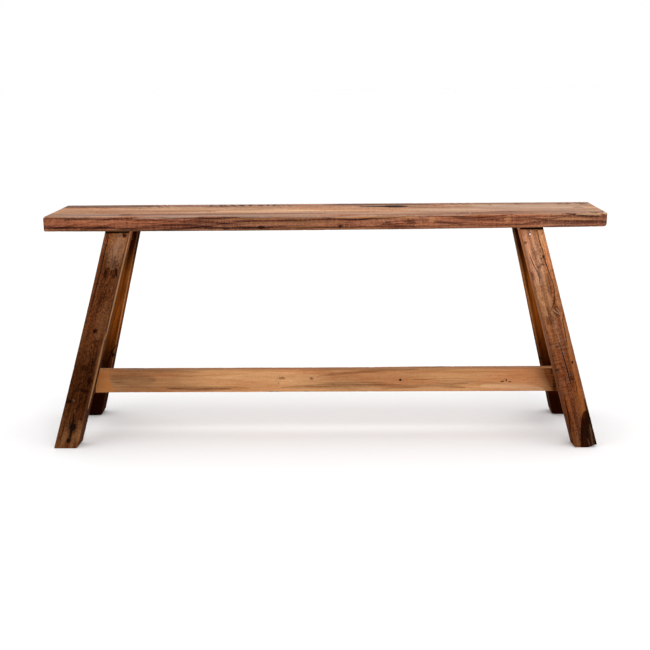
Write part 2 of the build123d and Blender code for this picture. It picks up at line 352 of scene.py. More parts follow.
def cut_crack(block, line, face, gap, depth):
    """Opens a crack along a line of places on one face of a board."""
    outwards = Vector((0, 0, 0))
    outwards[face.axis] = face.side
    margin = 2 * bpy.context.scene.bench_sizes.grid
    total = sum((b - a).length for a, b in zip(line, line[1:]))
    done = 0.0
    for start, end in zip(line, line[1:]):
        along = (end - start).normalized()
        sideways = along.cross(outwards)
        length = (end - start).length

        def is_near(place, reach):
            way = place - start
            return (-margin < way.dot(along) < length + margin and abs(way.dot(sideways)) < reach
                    and abs(way.dot(outwards)) < 2 * depth)

        for offset in (-gap / 2, 0.0, gap / 2):
            block.normal_update()
            near = [piece for piece in block.faces
                    if piece.normal.dot(outwards) > 0.6 and is_near(piece.calc_center_median(), margin)]
            around = list({edge for piece in near for edge in piece.edges})
            corners = list({corner for piece in near for corner in piece.verts})
            bmesh.ops.bisect_plane(block, geom=near + around + corners, dist=TOUCH,
                                   plane_co=start + sideways * offset, plane_no=sideways)
        for vertex in block.verts:
            if is_near(vertex.co, 2 * TOUCH):
                way = (vertex.co - start).dot(along)
                share = (done + way) / total
                if 0 < share < 1 and -TOUCH <= way <= length + TOUCH:
                    taper = math.sqrt(4 * share * (1 - share))
                    vertex.co -= outwards * depth * taper * (0.75 + 0.25 * noise.noise(vertex.co * 300))
        done += length


def curve_through(points):
    """Middle and coefficients of the parabola through three places (along, across)."""
    (x1, y1), (x2, y2), (x3, y3) = points
    first, last = x1 - x2, x3 - x2
    bend = ((y1 - y2) / first - (y3 - y2) / last) / (first - last)
    return x2, y2, (y1 - y2) / first - bend * first, bend


def stroke_on_board(board, face, stroke):
    """A stroke's three places (along, across) on a face of a board."""
    places = [place_on_board(board, face, pixel) for pixel in stroke.points]
    return [(place.x, place[face.across]) for place in places]


def open_cracks(block, board, face, marks):
    """Cuts each crack among the marks of a face into a board, in short straight steps."""
    sizes = bpy.context.scene.bench_sizes
    steps = 6
    for mark in (mark for mark in marks if mark.kind == "crack"):
        ends = stroke_on_board(board, face, mark)
        middle, level, slope, bend = curve_through(ends)
        line = []
        for step in range(steps + 1):
            along = ends[0][0] + (ends[2][0] - ends[0][0]) * step / steps
            way = along - middle
            place = Vector((along, 0, 0))
            place[face.across] = level + slope * way + bend * way * way
            place[face.axis] = face.side * (board.size[face.axis] / 2 - sizes.waviness)
            line.append(place)
        cut_crack(block, line, face, min(sizes.crack_gap, mark.width), sizes.crack_depth * mark.strength)


def finish_piece(block, board, material):
    """Makes a worn board a piece of the bench in place of its CAD node."""
    name = board.node.title()
    block.transform(board.frame)
    bmesh.ops.recalc_face_normals(block, faces=block.faces)
    if block.calc_volume(signed=True) < 0:
        bmesh.ops.reverse_faces(block, faces=block.faces)
    for piece in block.faces:
        piece.smooth = True
    mesh = bpy.data.meshes.new(name)
    block.to_mesh(mesh)
    block.free()
    piece = bpy.data.objects.new(name, mesh)
    bpy.context.scene.collection.objects.link(piece)
    mesh.materials.append(material)
    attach(piece, BODY)
    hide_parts(board.node)
    return piece


# Materials


class Graph:
    """Adds nodes to one node tree and links them."""

    def __init__(self, tree):
        self.tree = tree

    def add(self, kind, **settings):
        node = self.tree.nodes.new("ShaderNode" + kind)
        for name, value in settings.items():
            setattr(node, name, value)
        return node

    def feed(self, socket, value):
        """Links an output to a socket, or sets the socket's own value."""
        if isinstance(value, bpy.types.NodeSocket):
            self.tree.links.new(value, socket)
        else:
            socket.default_value = value

    def math(self, operation, *values, clamp=False):
        node = self.add("Math", operation=operation, use_clamp=clamp)
        for socket, value in zip(node.inputs, values):
            self.feed(socket, value)
        return node.outputs[0]

    def times(self, first, second):
        return self.math("MULTIPLY", first, second)

    def minus(self, first, second):
        return self.math("SUBTRACT", first, second)

    def scaled(self, value, factor, added):
        """The value times the factor, with something added."""
        return self.math("MULTIPLY_ADD", value, factor, added)

    def product(self, *values):
        return reduce(self.times, values)

    def vector(self, operation, *values):
        node = self.add("VectorMath", operation=operation)
        for socket, value in zip(node.inputs, values):
            self.feed(socket, value)
        return node.outputs["Value" if operation == "LENGTH" else "Vector"]

    def split(self, vector):
        node = self.add("SeparateXYZ")
        self.feed(node.inputs[0], vector)
        return node.outputs[0], node.outputs[1], node.outputs[2]

    def join(self, x, y, z):
        node = self.add("CombineXYZ")
        for socket, value in zip(node.inputs, (x, y, z)):
            self.feed(socket, value)
        return node.outputs[0]

    def noise(self, place, stretch, shift=(0, 0, 0), detail=2.0, roughness=0.5):
        """Noise with about the given number of changes in a metre along each axis."""
        node = self.add("TexNoise")
        self.feed(node.inputs["Vector"], self.vector("MULTIPLY_ADD", place, stretch, shift))
        node.inputs["Scale"].default_value = 1.0
        node.inputs["Detail"].default_value = detail
        node.inputs["Roughness"].default_value = roughness
        return node.outputs["Fac"]

    def fade(self, value, low, high, start=0.0, end=1.0, kind="SMOOTHSTEP"):
        """Goes from start to end as the value goes from low to high."""
        node = self.add("MapRange", interpolation_type=kind)
        for name, number in (("Value", value), ("From Min", low), ("From Max", high), ("To Min", start),
                             ("To Max", end)):
            self.feed(node.inputs[name], number)
        return node.outputs[0]

    def layer(self, place, layer):
        """Mask of one layer of the grain."""
        stretch = (layer.along, layer.across, layer.across)
        level = self.noise(place, stretch, layer.shift, layer.detail, layer.roughness)
        return self.fade(level, layer.low, layer.high)

    def mix(self, share, first, second, blend="MIX"):
        node = self.add("Mix", data_type="RGBA", blend_type=blend)
        self.feed(node.inputs[0], share)
        for socket, value in ((node.inputs[6], first), (node.inputs[7], second)):
            if not isinstance(value, bpy.types.NodeSocket):
                value = (*value, 1.0)
            self.feed(socket, value)
        return node.outputs[2]

    def ramp(self, value, stops):
        """Grey level that passes through the stops, each a place and a level."""
        node = self.add("ValToRGB")
        elements = node.color_ramp.elements
        while len(elements) < len(stops):
            elements.new(0.5)
        for element, (place, level) in zip(elements, stops):
            element.position = place
            element.color = (level, level, level, 1.0)
        self.feed(node.inputs[0], value)
        return node.outputs[0]

    def group(self, name, **values):
        """Adds a shared node group, which is made the first time that it is asked for."""
        if name not in bpy.data.node_groups:
            GROUP_MAKERS[name](name)
        node = self.add("Group", node_tree=bpy.data.node_groups[name])
        for label, value in values.items():
            self.feed(node.inputs[label.replace("_", " ")], value)
        return node


def new_group(name, numbers, vectors=(), outputs=("Mask",)):
    """A node group with its sockets, as its graph, its inputs by name and the sockets that leave it."""
    tree = bpy.data.node_groups.new(name, "ShaderNodeTree")
    for kind, labels in (("Vector", vectors), ("Float", numbers)):
        for label in labels:
            tree.interface.new_socket(name=label, in_out="INPUT", socket_type="NodeSocket" + kind)
    for label in outputs:
        tree.interface.new_socket(name=label, in_out="OUTPUT", socket_type="NodeSocketFloat")
    entry = tree.nodes.new("NodeGroupInput")
    leave = tree.nodes.new("NodeGroupOutput")
    return Graph(tree), {socket.name: socket for socket in entry.outputs if socket.name}, leave.inputs


def curve_at(graph, given, name):
    """Level of a mark's curve at a place along it."""
    way = graph.minus(given[name], given["Middle"])
    return graph.scaled(way, graph.scaled(way, given["Bend"], given["Slope"]), given["Level"])


def stroke_group(name):
    """Mask of one curved stroke that tapers to its ends."""
    graph, given, leave = new_group(name, ("Along", "Across", "Middle", "Level", "Slope", "Bend", "Start",
                                           "End", "Half Width", "Softness"))
    distance = graph.math("ABSOLUTE", graph.minus(given["Across"], curve_at(graph, given, "Along")))
    share = graph.fade(given["Along"], given["Start"], given["End"], kind="LINEAR")
    taper = graph.math("SQRT", graph.times(graph.times(share, graph.minus(1.0, share)), 4.0))
    reach = graph.scaled(given["Half Width"], taper, 1e-6)
    core = graph.times(reach, graph.minus(1.0, given["Softness"]))
    graph.feed(leave[0], graph.fade(distance, core, reach, 1.0, 0.0))


def blot_group(name):
    """Mask of one oval blot with a ragged rim."""
    graph, given, leave = new_group(name, ("Along", "Across", "Middle", "Level", "Half Length", "Half Width",
                                           "Rag"))
    along = graph.math("DIVIDE", graph.minus(given["Along"], given["Middle"]), given["Half Length"])
    across = graph.math("DIVIDE", graph.minus(given["Across"], given["Level"]), given["Half Width"])
    reach = graph.math("SQRT", graph.scaled(along, along, graph.times(across, across)))
    graph.feed(leave[0], graph.fade(graph.math("ADD", reach, given["Rag"]), 0.5, 1.0, 1.0, 0.0))


def zone_group(name):
    """Mask of everything on one side of a curved line across the board."""
    graph, given, leave = new_group(name, ("Along", "Across", "Middle", "Level", "Slope", "Bend", "Side",
                                           "Softness"))
    past = graph.times(graph.minus(given["Along"], curve_at(graph, given, "Across")), given["Side"])
    graph.feed(leave[0], graph.fade(past, 0.0, given["Softness"]))


# A layer of the grain is noise: its changes in a metre along and across the board, where the pattern starts,
# its detail and roughness, and the noise's levels at which the layer starts and is full.
Layer = namedtuple("Layer", "along across shift detail roughness low high")
STREAK = Layer(3.0, 110.0, (2.0, 7.0, 1.0), 5.0, 0.62, 0.32, 0.68)
FIBRE = Layer(16.0, 520.0, (0.0, 0.0, 0.0), 4.0, 0.60, 0.30, 0.70)
PORE = Layer(90.0, 1500.0, (4.0, 0.0, 0.0), 1.0, 0.50, 0.62, 0.72)
HUE = Layer(5.0, 26.0, (11.0, 3.0, 0.0), 3.0, 0.50, 0.35, 0.65)
BLOTCH = Layer(60.0, 110.0, (6.0, 1.0, 4.0), 5.0, 0.72, 0.50, 0.66)
SPECK = Layer(330.0, 600.0, (8.0, 2.0, 1.0), 2.0, 0.60, 0.56, 0.68)
PATCH = Layer(11.0, 26.0, (5.0, 9.0, 2.0), 2.0, 0.50, 0.38, 0.62)
CHATTER = Layer(360.0, 20.0, (3.0, 0.0, 0.0), 2.0, 0.60, 0.30, 0.70)
GRIT = Layer(150.0, 340.0, (9.0, 6.0, 3.0), 4.0, 0.75, 0.53, 0.64)
SPECKLE = Layer(230.0, 560.0, (3.0, 8.0, 1.0), 2.0, 0.60, 0.32, 0.68)

# What the grain group gives
Grain = namedtuple("Grain", "ring streak fibre pore hue mottle chatter grit knot")


def grain_group(name):
    """Rings, streaks, fibres, pores, saw chatter and stains of old sawn wood, in a board's own axes."""
    graph, given, leave = new_group(name, ("Spacing", "Wander"), ("Place", "Board", "Pith"),
                                    [field.title() for field in Grain._fields])
    place = graph.vector("ADD", given["Place"], given["Board"])
    sway = [graph.minus(graph.noise(place, (4.0, 9.0, 9.0), shift, 3.0), 0.5)
            for shift in ((3.1, 0.0, 0.0), (7.7, 5.2, 1.3))]
    swayed = graph.join(0.0, *(graph.times(part, given["Wander"]) for part in sway))
    centred = graph.vector("SUBTRACT", graph.vector("ADD", given["Place"], swayed), given["Pith"])
    radius = graph.vector("LENGTH", graph.vector("MULTIPLY", centred, (0.03, 1.0, 1.0)))
    uneven = graph.noise(place, (9.0, 60.0, 60.0), (1.0, 2.0, 9.0), 2.0)
    count = graph.scaled(uneven, 0.9, graph.math("DIVIDE", radius, given["Spacing"]))
    phase = graph.math("FRACT", count)
    ring = graph.times(graph.fade(phase, 0.35, 0.93), graph.fade(phase, 0.93, 1.0, 1.0, 0.0))
    layers = (STREAK, FIBRE, PORE, HUE, BLOTCH, SPECK, PATCH, CHATTER, GRIT)
    streak, fibre, pore, hue, blotch, speck, patch, chatter, grit = (
        graph.layer(place, layer) for layer in layers)
    mottle = graph.math("MAXIMUM", graph.times(blotch, patch), graph.times(speck, 0.7))
    cells = graph.add("TexVoronoi")
    graph.feed(cells.inputs["Vector"], graph.vector("MULTIPLY", place, (6.0, 24.0, 24.0)))
    cells.inputs["Scale"].default_value = 1.0
    rim = graph.noise(place, (90.0, 200.0, 200.0), (1.0, 5.0, 2.0), 3.0)
    knot = graph.fade(graph.scaled(rim, 0.12, cells.outputs["Distance"]), 0.16, 0.27, 1.0, 0.0)
    for socket, value in zip(leave, Grain(ring, streak, fibre, pore, hue, mottle, chatter, grit, knot)):
        graph.feed(socket, value)


GROUP_MAKERS = {"Stroke": stroke_group, "Blot": blot_group, "Zone": zone_group, "Sawn Grain": grain_group}


def new_shader(name):
    """A material with nothing but its shader, as the material, its graph and the shader."""
    material = bpy.data.materials.new(name)
    material.use_nodes = True
    graph = Graph(material.node_tree)
    graph.tree.nodes.clear()
    shader = graph.add("BsdfPrincipled")
    graph.feed(graph.add("OutputMaterial").inputs["Surface"], shader.outputs[0])
    return material, graph, shader


def add_bump(graph, shader, height, strength, distance):
    bump = graph.add("Bump")
    bump.inputs["Strength"].default_value = strength
    bump.inputs["Distance"].default_value = distance
    graph.feed(bump.inputs["Height"], height)
    graph.feed(shader.inputs["Normal"], bump.outputs[0])


# Depths below a marked face at which its marks start to fade and are gone
MARK_DEPTHS = (0.0015, 0.006)
# Depths at which the board's tone and painted shade start to soften and are softest
TONE_DEPTHS = (0.004, 0.010)
# Distances from a long edge at which its bare wood starts to fade and is gone
ARRIS_REACH = (0.0005, 0.0042)
# How far the rims of marks, their strokes' middles and the bare edges stray from a smooth line
MARK_RAG = 0.0008
STROKE_SWAY = 0.0030
ARRIS_RAG = 0.006

# Colour of each kind of mark, and how it is laid over the wood
TINTS = {"light": ("worn", "MIX"), "dust_and_sheen": ("dust_and_sheen", "MIX"), "warm": ("warm", "MULTIPLY"),
         "dark": ("stain_and_shade", "MULTIPLY"), "shade": ("grime_and_shade", "MULTIPLY"), "black": ("crack", "MIX"),
         "fresh": ("fresh", "MIX")}


class BoardWood:
    """The wood of one board, laid on step by step from its clean grain to its marks."""

    def __init__(self, name, board, look):
        self.board, self.look, self.half = board, look, board.size / 2
        self.colours = bpy.context.scene.bench_colours
        self.material, self.graph, self.shader = new_shader(name)
        graph = self.graph
        mapping = graph.add("Mapping", vector_type="TEXTURE")
        mapping.inputs["Location"].default_value = board.frame.translation
        mapping.inputs["Rotation"].default_value = board.frame.to_euler()
        graph.feed(mapping.inputs["Vector"], graph.add("TexCoord").outputs["Object"])
        self.place = mapping.outputs[0]
        self.axes = graph.split(self.place)
        self.grain = Grain(*graph.group("Sawn Grain", Place=self.place, Board=pattern_shift(board),
                                        Pith=look.pith, Spacing=look.spacing, Wander=look.wander).outputs)
        self.rag, self.sway = (graph.minus(graph.noise(self.place, stretch, shift, 3.0, 0.6), 0.5)
                               for stretch, shift in (((220.0, 420.0, 420.0), (2.0, 0.0, 5.0)),
                                                      ((26.0, 150.0, 150.0), (7.0, 0.0, 2.0))))
        self.speckle = graph.layer(self.place, SPECKLE)
        self.colour = self.body(look.light, look.dark, look.rings)

    def body(self, light, dark, rings):
        """Light and dark wood mixed by the rings, streaks and fibres."""
        graph, grain, look = self.graph, self.grain, self.look
        dark_share, fibres, redness = 0.42, 0.42, 0.7
        share = graph.scaled(grain.streak, look.streaks, dark_share - look.streaks / 2)
        share = graph.scaled(grain.fibre, fibres, graph.minus(share, fibres / 2))
        share = graph.scaled(self.speckle, look.speckle, graph.minus(share, look.speckle / 2))
        share = graph.scaled(grain.ring, rings, share)
        share = graph.scaled(grain.chatter, look.chatter, graph.minus(share, look.chatter / 2))
        share = graph.math("MAXIMUM", graph.math("MINIMUM", share, 1.0), 0.0)
        wood = graph.mix(share, getattr(self.colours, light), getattr(self.colours, dark))
        return graph.mix(graph.times(grain.hue, redness), wood, self.colours.red, "MULTIPLY")

    def paint(self, share, colour, blend="MIX"):
        self.colour = self.graph.mix(share, self.colour, colour, blend)

    def darken(self, share, colour):
        """Multiplies a share of the wood's colour by another."""
        self.paint(share, colour, "MULTIPLY")

    def lift(self, share, amount):
        """Raises the surface, or sinks it by a negative amount."""
        self.height = self.graph.scaled(share, amount, self.height)

    def add_tone_and_shade(self, faces):
        """Darkens the wood along the board by its tone and painted shade, which are softer away from the
        marked faces.
        """
        graph, half = self.graph, self.half
        along = graph.fade(self.axes[0], -half.x, half.x, kind="LINEAR")
        self.bare = 1.0
        self.depths = []
        for face, _ in faces:
            depth = graph.scaled(self.axes[face.axis], -face.side, half[face.axis])
            self.depths.append(depth)
            self.bare = graph.times(self.bare, graph.fade(depth, *TONE_DEPTHS))
        level = graph.ramp(along, self.look.tones)
        softer = graph.scaled(level, 0.45, 0.40)
        self.level = graph.mix(graph.times(self.bare, 1.0 if faces else 0.0), level, softer)
        self.darken(graph.minus(1.0, self.level), self.colours.grime_and_shade)

    def add_edges(self, side_shade):
        """Shades the two sides, soils the wood and bares it where the long edges are rubbed."""
        graph, grain, look, colours = self.graph, self.grain, self.look, self.colours
        to_side = graph.minus(self.half.y, graph.math("ABSOLUTE", self.axes[1]))
        to_face = graph.minus(self.half.z, graph.math("ABSOLUTE", self.axes[2]))
        if side_shade:
            on_side = graph.fade(graph.minus(to_face, to_side), -MILLIMETRE, MILLIMETRE)
            self.darken(on_side, side_shade)
        self.darken(graph.times(grain.mottle, look.mottle), colours.stain_and_shade)
        self.darken(graph.times(grain.grit, look.grit), colours.grime_and_shade)
        from_arris = graph.scaled(self.rag, ARRIS_RAG, graph.math("MAXIMUM", to_side, to_face))
        arris = graph.fade(from_arris, *ARRIS_REACH, look.wear, 0.0)
        arris = graph.times(arris, graph.scaled(self.level, 0.7, 0.3))
        self.paint(arris, colours.worn)
        self.darken(graph.times(grain.pore, 0.4), colours.stain_and_shade)

    def add_relief(self):
        """Sets the height of the grain, and the knots of the faces without marks."""
        graph, grain, look, colours = self.graph, self.grain, self.look, self.colours
        self.height = graph.scaled(grain.ring, -0.25, graph.times(grain.fibre, 0.5))
        self.lift(grain.pore, -0.3)
        self.lift(grain.chatter, look.chatter * 2)
        self.lift(grain.mottle, -0.4 * look.mottle)
        knots = graph.times(grain.knot, self.bare)
        self.darken(knots, colours.stain_and_shade)
        self.darken(graph.times(knots, grain.ring), colours.stain_and_shade)
        self.lift(knots, 0.8)

    def add_marks(self, faces):
        """Lays the marks of each face over the wood."""
        graph, grain, colours = self.graph, self.grain, self.colours
        self.along = graph.scaled(self.rag, 0.002, self.axes[0])
        self.rim = graph.times(self.rag, 1.6)
        self.broken = graph.scaled(grain.fibre, 0.7, 0.55)
        for (face, marks), depth in zip(faces, self.depths):
            masks = self.mark_masks(face, marks, depth)
            for kind, (tint, blend) in TINTS.items():
                if kind in masks:
                    self.paint(masks[kind], getattr(colours, tint), blend)
            if "saw" in masks:
                ridge = graph.times(graph.fade(grain.chatter, 0.45, 0.80), masks["saw"])
                groove = graph.times(graph.fade(grain.chatter, 0.45, 0.15), masks["saw"])
                self.paint(graph.times(ridge, 0.16), colours.dust_and_sheen)
                self.darken(graph.times(groove, 0.60), colours.stain_and_shade)
                self.lift(graph.minus(ridge, groove), 0.8)
            if "stain_and_shade" in masks:
                spots = graph.times(graph.math("MAXIMUM", grain.mottle, grain.grit), masks["stain_and_shade"])
                self.darken(spots, colours.grime_and_shade)
                self.lift(spots, -0.6)
            if "crack" in masks:
                self.paint(masks["crack"], colours.crack)
                self.lift(masks["crack"], -1.5)

    def mark_masks(self, face, marks, depth):
        """One mask for each kind of mark on a face, as a dictionary."""
        graph, board = self.graph, self.board
        near = graph.fade(depth, *MARK_DEPTHS, 1.0, 0.0)
        across = graph.scaled(self.rag, MARK_RAG, self.axes[face.across])
        swayed = graph.scaled(self.sway, STROKE_SWAY, across)
        masks = {}
        for mark in marks:
            if isinstance(mark, Stroke):
                ends = stroke_on_board(board, face, mark)
                middle, level, slope, bend = curve_through(ends)
                low, high = sorted((ends[0][0], ends[2][0]))
                thin = mark.kind == "crack"
                node = graph.group("Stroke", Along=self.along, Across=across if thin else swayed,
                                   Middle=middle, Level=level, Slope=slope, Bend=bend, Start=low, End=high,
                                   Half_Width=mark.width / 2, Softness=0.5 if thin else 0.85)
            elif isinstance(mark, Zone):
                places = [place_on_board(board, face, pixel) for pixel in mark.points]
                middle, level, slope, bend = curve_through(
                    [(place[face.across], place.x) for place in places])
                node = graph.group("Zone", Along=self.along, Across=across, Middle=middle, Level=level,
                                   Slope=slope, Bend=bend, Side=mark.side, Softness=mark.softness)
            else:
                place = place_on_board(board, face, mark.point)
                node = graph.group("Blot", Along=self.along, Across=across, Middle=place.x,
                                   Level=place[face.across], Half_Length=mark.length / 2,
                                   Half_Width=mark.width / 2, Rag=self.rim)
            mask = graph.times(node.outputs[0], mark.strength)
            if mark.kind in ("dark", "light", "dust_and_sheen") and not isinstance(mark, Zone):
                mask = graph.times(mask, self.broken)
            if mark.kind in masks:
                mask = graph.math("MAXIMUM", masks[mark.kind], mask)
            masks[mark.kind] = mask
        return {kind: graph.math("MULTIPLY", mask, near, clamp=True) for kind, mask in masks.items()}

    def finish(self):
        """Gives the shader its colour, gloss and relief."""
        graph, grain, shader = self.graph, self.grain, self.shader
        graph.feed(shader.inputs["Base Color"], self.colour)
        rough = graph.scaled(grain.fibre, -0.14, self.look.rough)
        graph.feed(shader.inputs["Roughness"], graph.scaled(grain.ring, 0.08, rough))
        shader.inputs["Specular IOR Level"].default_value = self.look.gloss
        add_bump(graph, shader, self.height, strength=0.55, distance=0.0006)
        return self.material


def pattern_shift(board):
    """Moves the grain of each board to another part of the pattern, so that no two boards match."""
    number = bpy.context.scene.bench_seed.number + PATTERNS.index(board.node)
    return (0.37 * number, 0.211 * number, 0.173 * number)


def board_material(name, board, look, faces=(), side_shade=None, top_look=None):
    """Wood of one board. faces pairs each marked face with its marks."""
    wood = BoardWood(name, board, look)
    if top_look:
        top_look(wood)
    wood.add_tone_and_shade(faces)
    wood.add_edges(side_shade)
    wood.add_relief()
    wood.add_marks(faces)
    return wood.finish()


def nail_head():
    """Middle of the head of the nail in the right front leg."""
    nail = [corner.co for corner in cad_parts["leg_nails"].data.vertices
            if corner.co.x > 0 and corner.co.y < 0]
    foremost = min(corner.y for corner in nail)
    head = [corner for corner in nail if corner.y < foremost + 1.5 * MILLIMETRE]
    return sum(head, Vector()) / len(head)


def metal_material(name, old_metal, spots, spotted, metallic, new_head=None):
    """Worn old metal, darker where its grain is above the spotted level. One head may be newer and bright."""
    colours = bpy.context.scene.bench_colours
    material, graph, shader = new_shader(name)
    position = graph.add("TexCoord").outputs["Object"]
    grain = graph.noise(position, (900.0, 900.0, 900.0), (0, 0, 0), 3.0)
    metal = graph.mix(graph.fade(grain, spotted, 0.65), old_metal, spots)
    if new_head:
        bright = graph.mix(graph.fade(grain, 0.3, 0.75), colours.bright_metal, colours.dust_and_sheen)
        from_head = graph.vector("LENGTH", graph.vector("SUBTRACT", position, new_head))
        newest = graph.fade(from_head, 1.0 * MILLIMETRE, 2.2 * MILLIMETRE, 1.0, 0.0)
        metal = graph.mix(newest, metal, bright)
        metallic = graph.times(newest, metallic)
    graph.feed(shader.inputs["Base Color"], metal)
    graph.feed(shader.inputs["Metallic"], metallic)
    graph.feed(shader.inputs["Roughness"], graph.fade(grain, 0.2, 0.8, 0.3, 0.6))
    add_bump(graph, shader, grain, strength=0.4, distance=0.0003)
    return material


# The order in which the boards take their parts of the grain pattern
PATTERNS = ("seat_plank", "front_left_leg", "front_right_leg", "rear_left_leg", "rear_right_leg",
            "long_stretcher", "left_cross_rail", "right_cross_rail", "left_top_cleat", "right_top_cleat",
            "rail_pegs", "stretcher_wedges")

# What makes one board's wood unlike another's. Light and dark are names of colours. The pith is the rings'
# middle, spacing the rings' width and wander how far they stray. Rings to chatter are strengths. Tone and
# shade are levels along the board from its start to its far end: 1 where the wood is left as it is, 0 where
# it is darkest. They hold both the wood's own tone and painted shade, such as under the seat and below the
# stretcher on the rear legs, and at the ends of the rails and cleats by the legs.
Look = namedtuple("Look", "light dark pith spacing wander rings streaks speckle mottle grit chatter wear "
                          "rough gloss tones")
LOOKS = {
    "seat_wood": Look(
        "edge_light", "edge_dark", (0.2, 0.03, -0.085), spacing=0.0055, wander=0.028, rings=0.40,
        streaks=0.75, speckle=0.40, mottle=0.35, grit=0.10, chatter=0.20, wear=0.28, rough=0.62, gloss=0.04,
        tones=((0.0, 0.86), (0.1, 0.92), (0.22, 0.84), (0.35, 0.86), (0.46, 1.0), (0.62, 1.0), (0.72, 0.88),
               (0.88, 0.86), (1.0, 0.88))),
    "dark_leg_wood": Look(
        "dark_leg_light", "dark_leg_dark", (0.0, 0.05, 0.06), spacing=0.0050, wander=0.012, rings=0.22,
        streaks=0.38, speckle=0.70, mottle=0.90, grit=0.70, chatter=0.06, wear=0.16, rough=0.66, gloss=0.006,
        tones=((0.0, 0.30), (0.08, 0.24), (0.20, 0.05), (0.36, 0.06), (0.46, 0.24), (0.70, 0.32),
               (0.86, 0.38), (0.92, 0.84), (1.0, 1.0))),
    "light_leg_wood": Look(
        "light_leg_light", "light_leg_dark", (0.0, -0.04, 0.05), spacing=0.0070, wander=0.022, rings=0.28,
        streaks=0.60, speckle=0.40, mottle=0.50, grit=0.35, chatter=0.18, wear=0.24, rough=0.64, gloss=0.006,
        tones=((0.0, 0.14), (0.12, 0.16), (0.24, 0.24), (0.42, 0.38), (0.58, 0.52), (0.70, 0.62),
               (0.80, 0.92), (1.0, 1.0))),
    # Painted shade: dark under the seat at the top, and below the stretcher down to the foot.
    "rear_leg_wood": Look(
        "rear_leg_light", "rear_leg_dark", (0.0, 0.03, 0.04), spacing=0.0090, wander=0.020, rings=0.30,
        streaks=0.50, speckle=0.15, mottle=0.20, grit=0.10, chatter=0.05, wear=0.55, rough=0.60, gloss=0.0003,
        tones=((0.0, 0.0), (0.24, 0.04), (0.34, 0.22), (0.42, 0.50), (0.54, 0.96), (0.74, 0.95), (0.81, 0.40),
               (0.87, 0.06), (1.0, 0.0))),
    "stretcher_wood": Look(
        "stretcher_light", "stretcher_dark", (0.1, 0.05, 0.06), spacing=0.0120, wander=0.050, rings=0.12,
        streaks=0.32, speckle=0.14, mottle=0.08, grit=0.0, chatter=0.03, wear=0.15, rough=0.55, gloss=0.03,
        tones=((0.0, 0.62), (0.09, 0.58), (0.17, 0.68), (0.26, 0.96), (0.42, 1.0), (0.52, 0.76), (0.60, 0.78),
               (0.75, 0.88), (0.92, 0.95), (1.0, 0.85))),
    # Painted shade at both ends, where the rails and cleats run into the legs.
    "inner_wood": Look(
        "inner_light", "inner_dark", (0.0, 0.03, -0.05), spacing=0.0055, wander=0.015, rings=0.30,
        streaks=0.60, speckle=0.25, mottle=0.40, grit=0.20, chatter=0.12, wear=0.05, rough=0.72, gloss=0.01,
        tones=((0.0, 0.0), (0.25, 0.1), (0.5, 0.6), (0.75, 0.1), (1.0, 0.0))),
    "peg_wood": Look(
        "peg_wood", "inner_dark", (0.0, 0.0, 0.0), spacing=0.0016, wander=0.002, rings=0.40, streaks=0.30,
        speckle=0.15, mottle=0.30, grit=0.0, chatter=0.0, wear=0.0, rough=0.7, gloss=0.03,
        tones=((0.0, 0.8), (1.0, 0.8))),
}

# Marks seen in the photograph, by the pixels where they lie
SLIT_ENDS = ((363, 206.6), (407, 206.4))

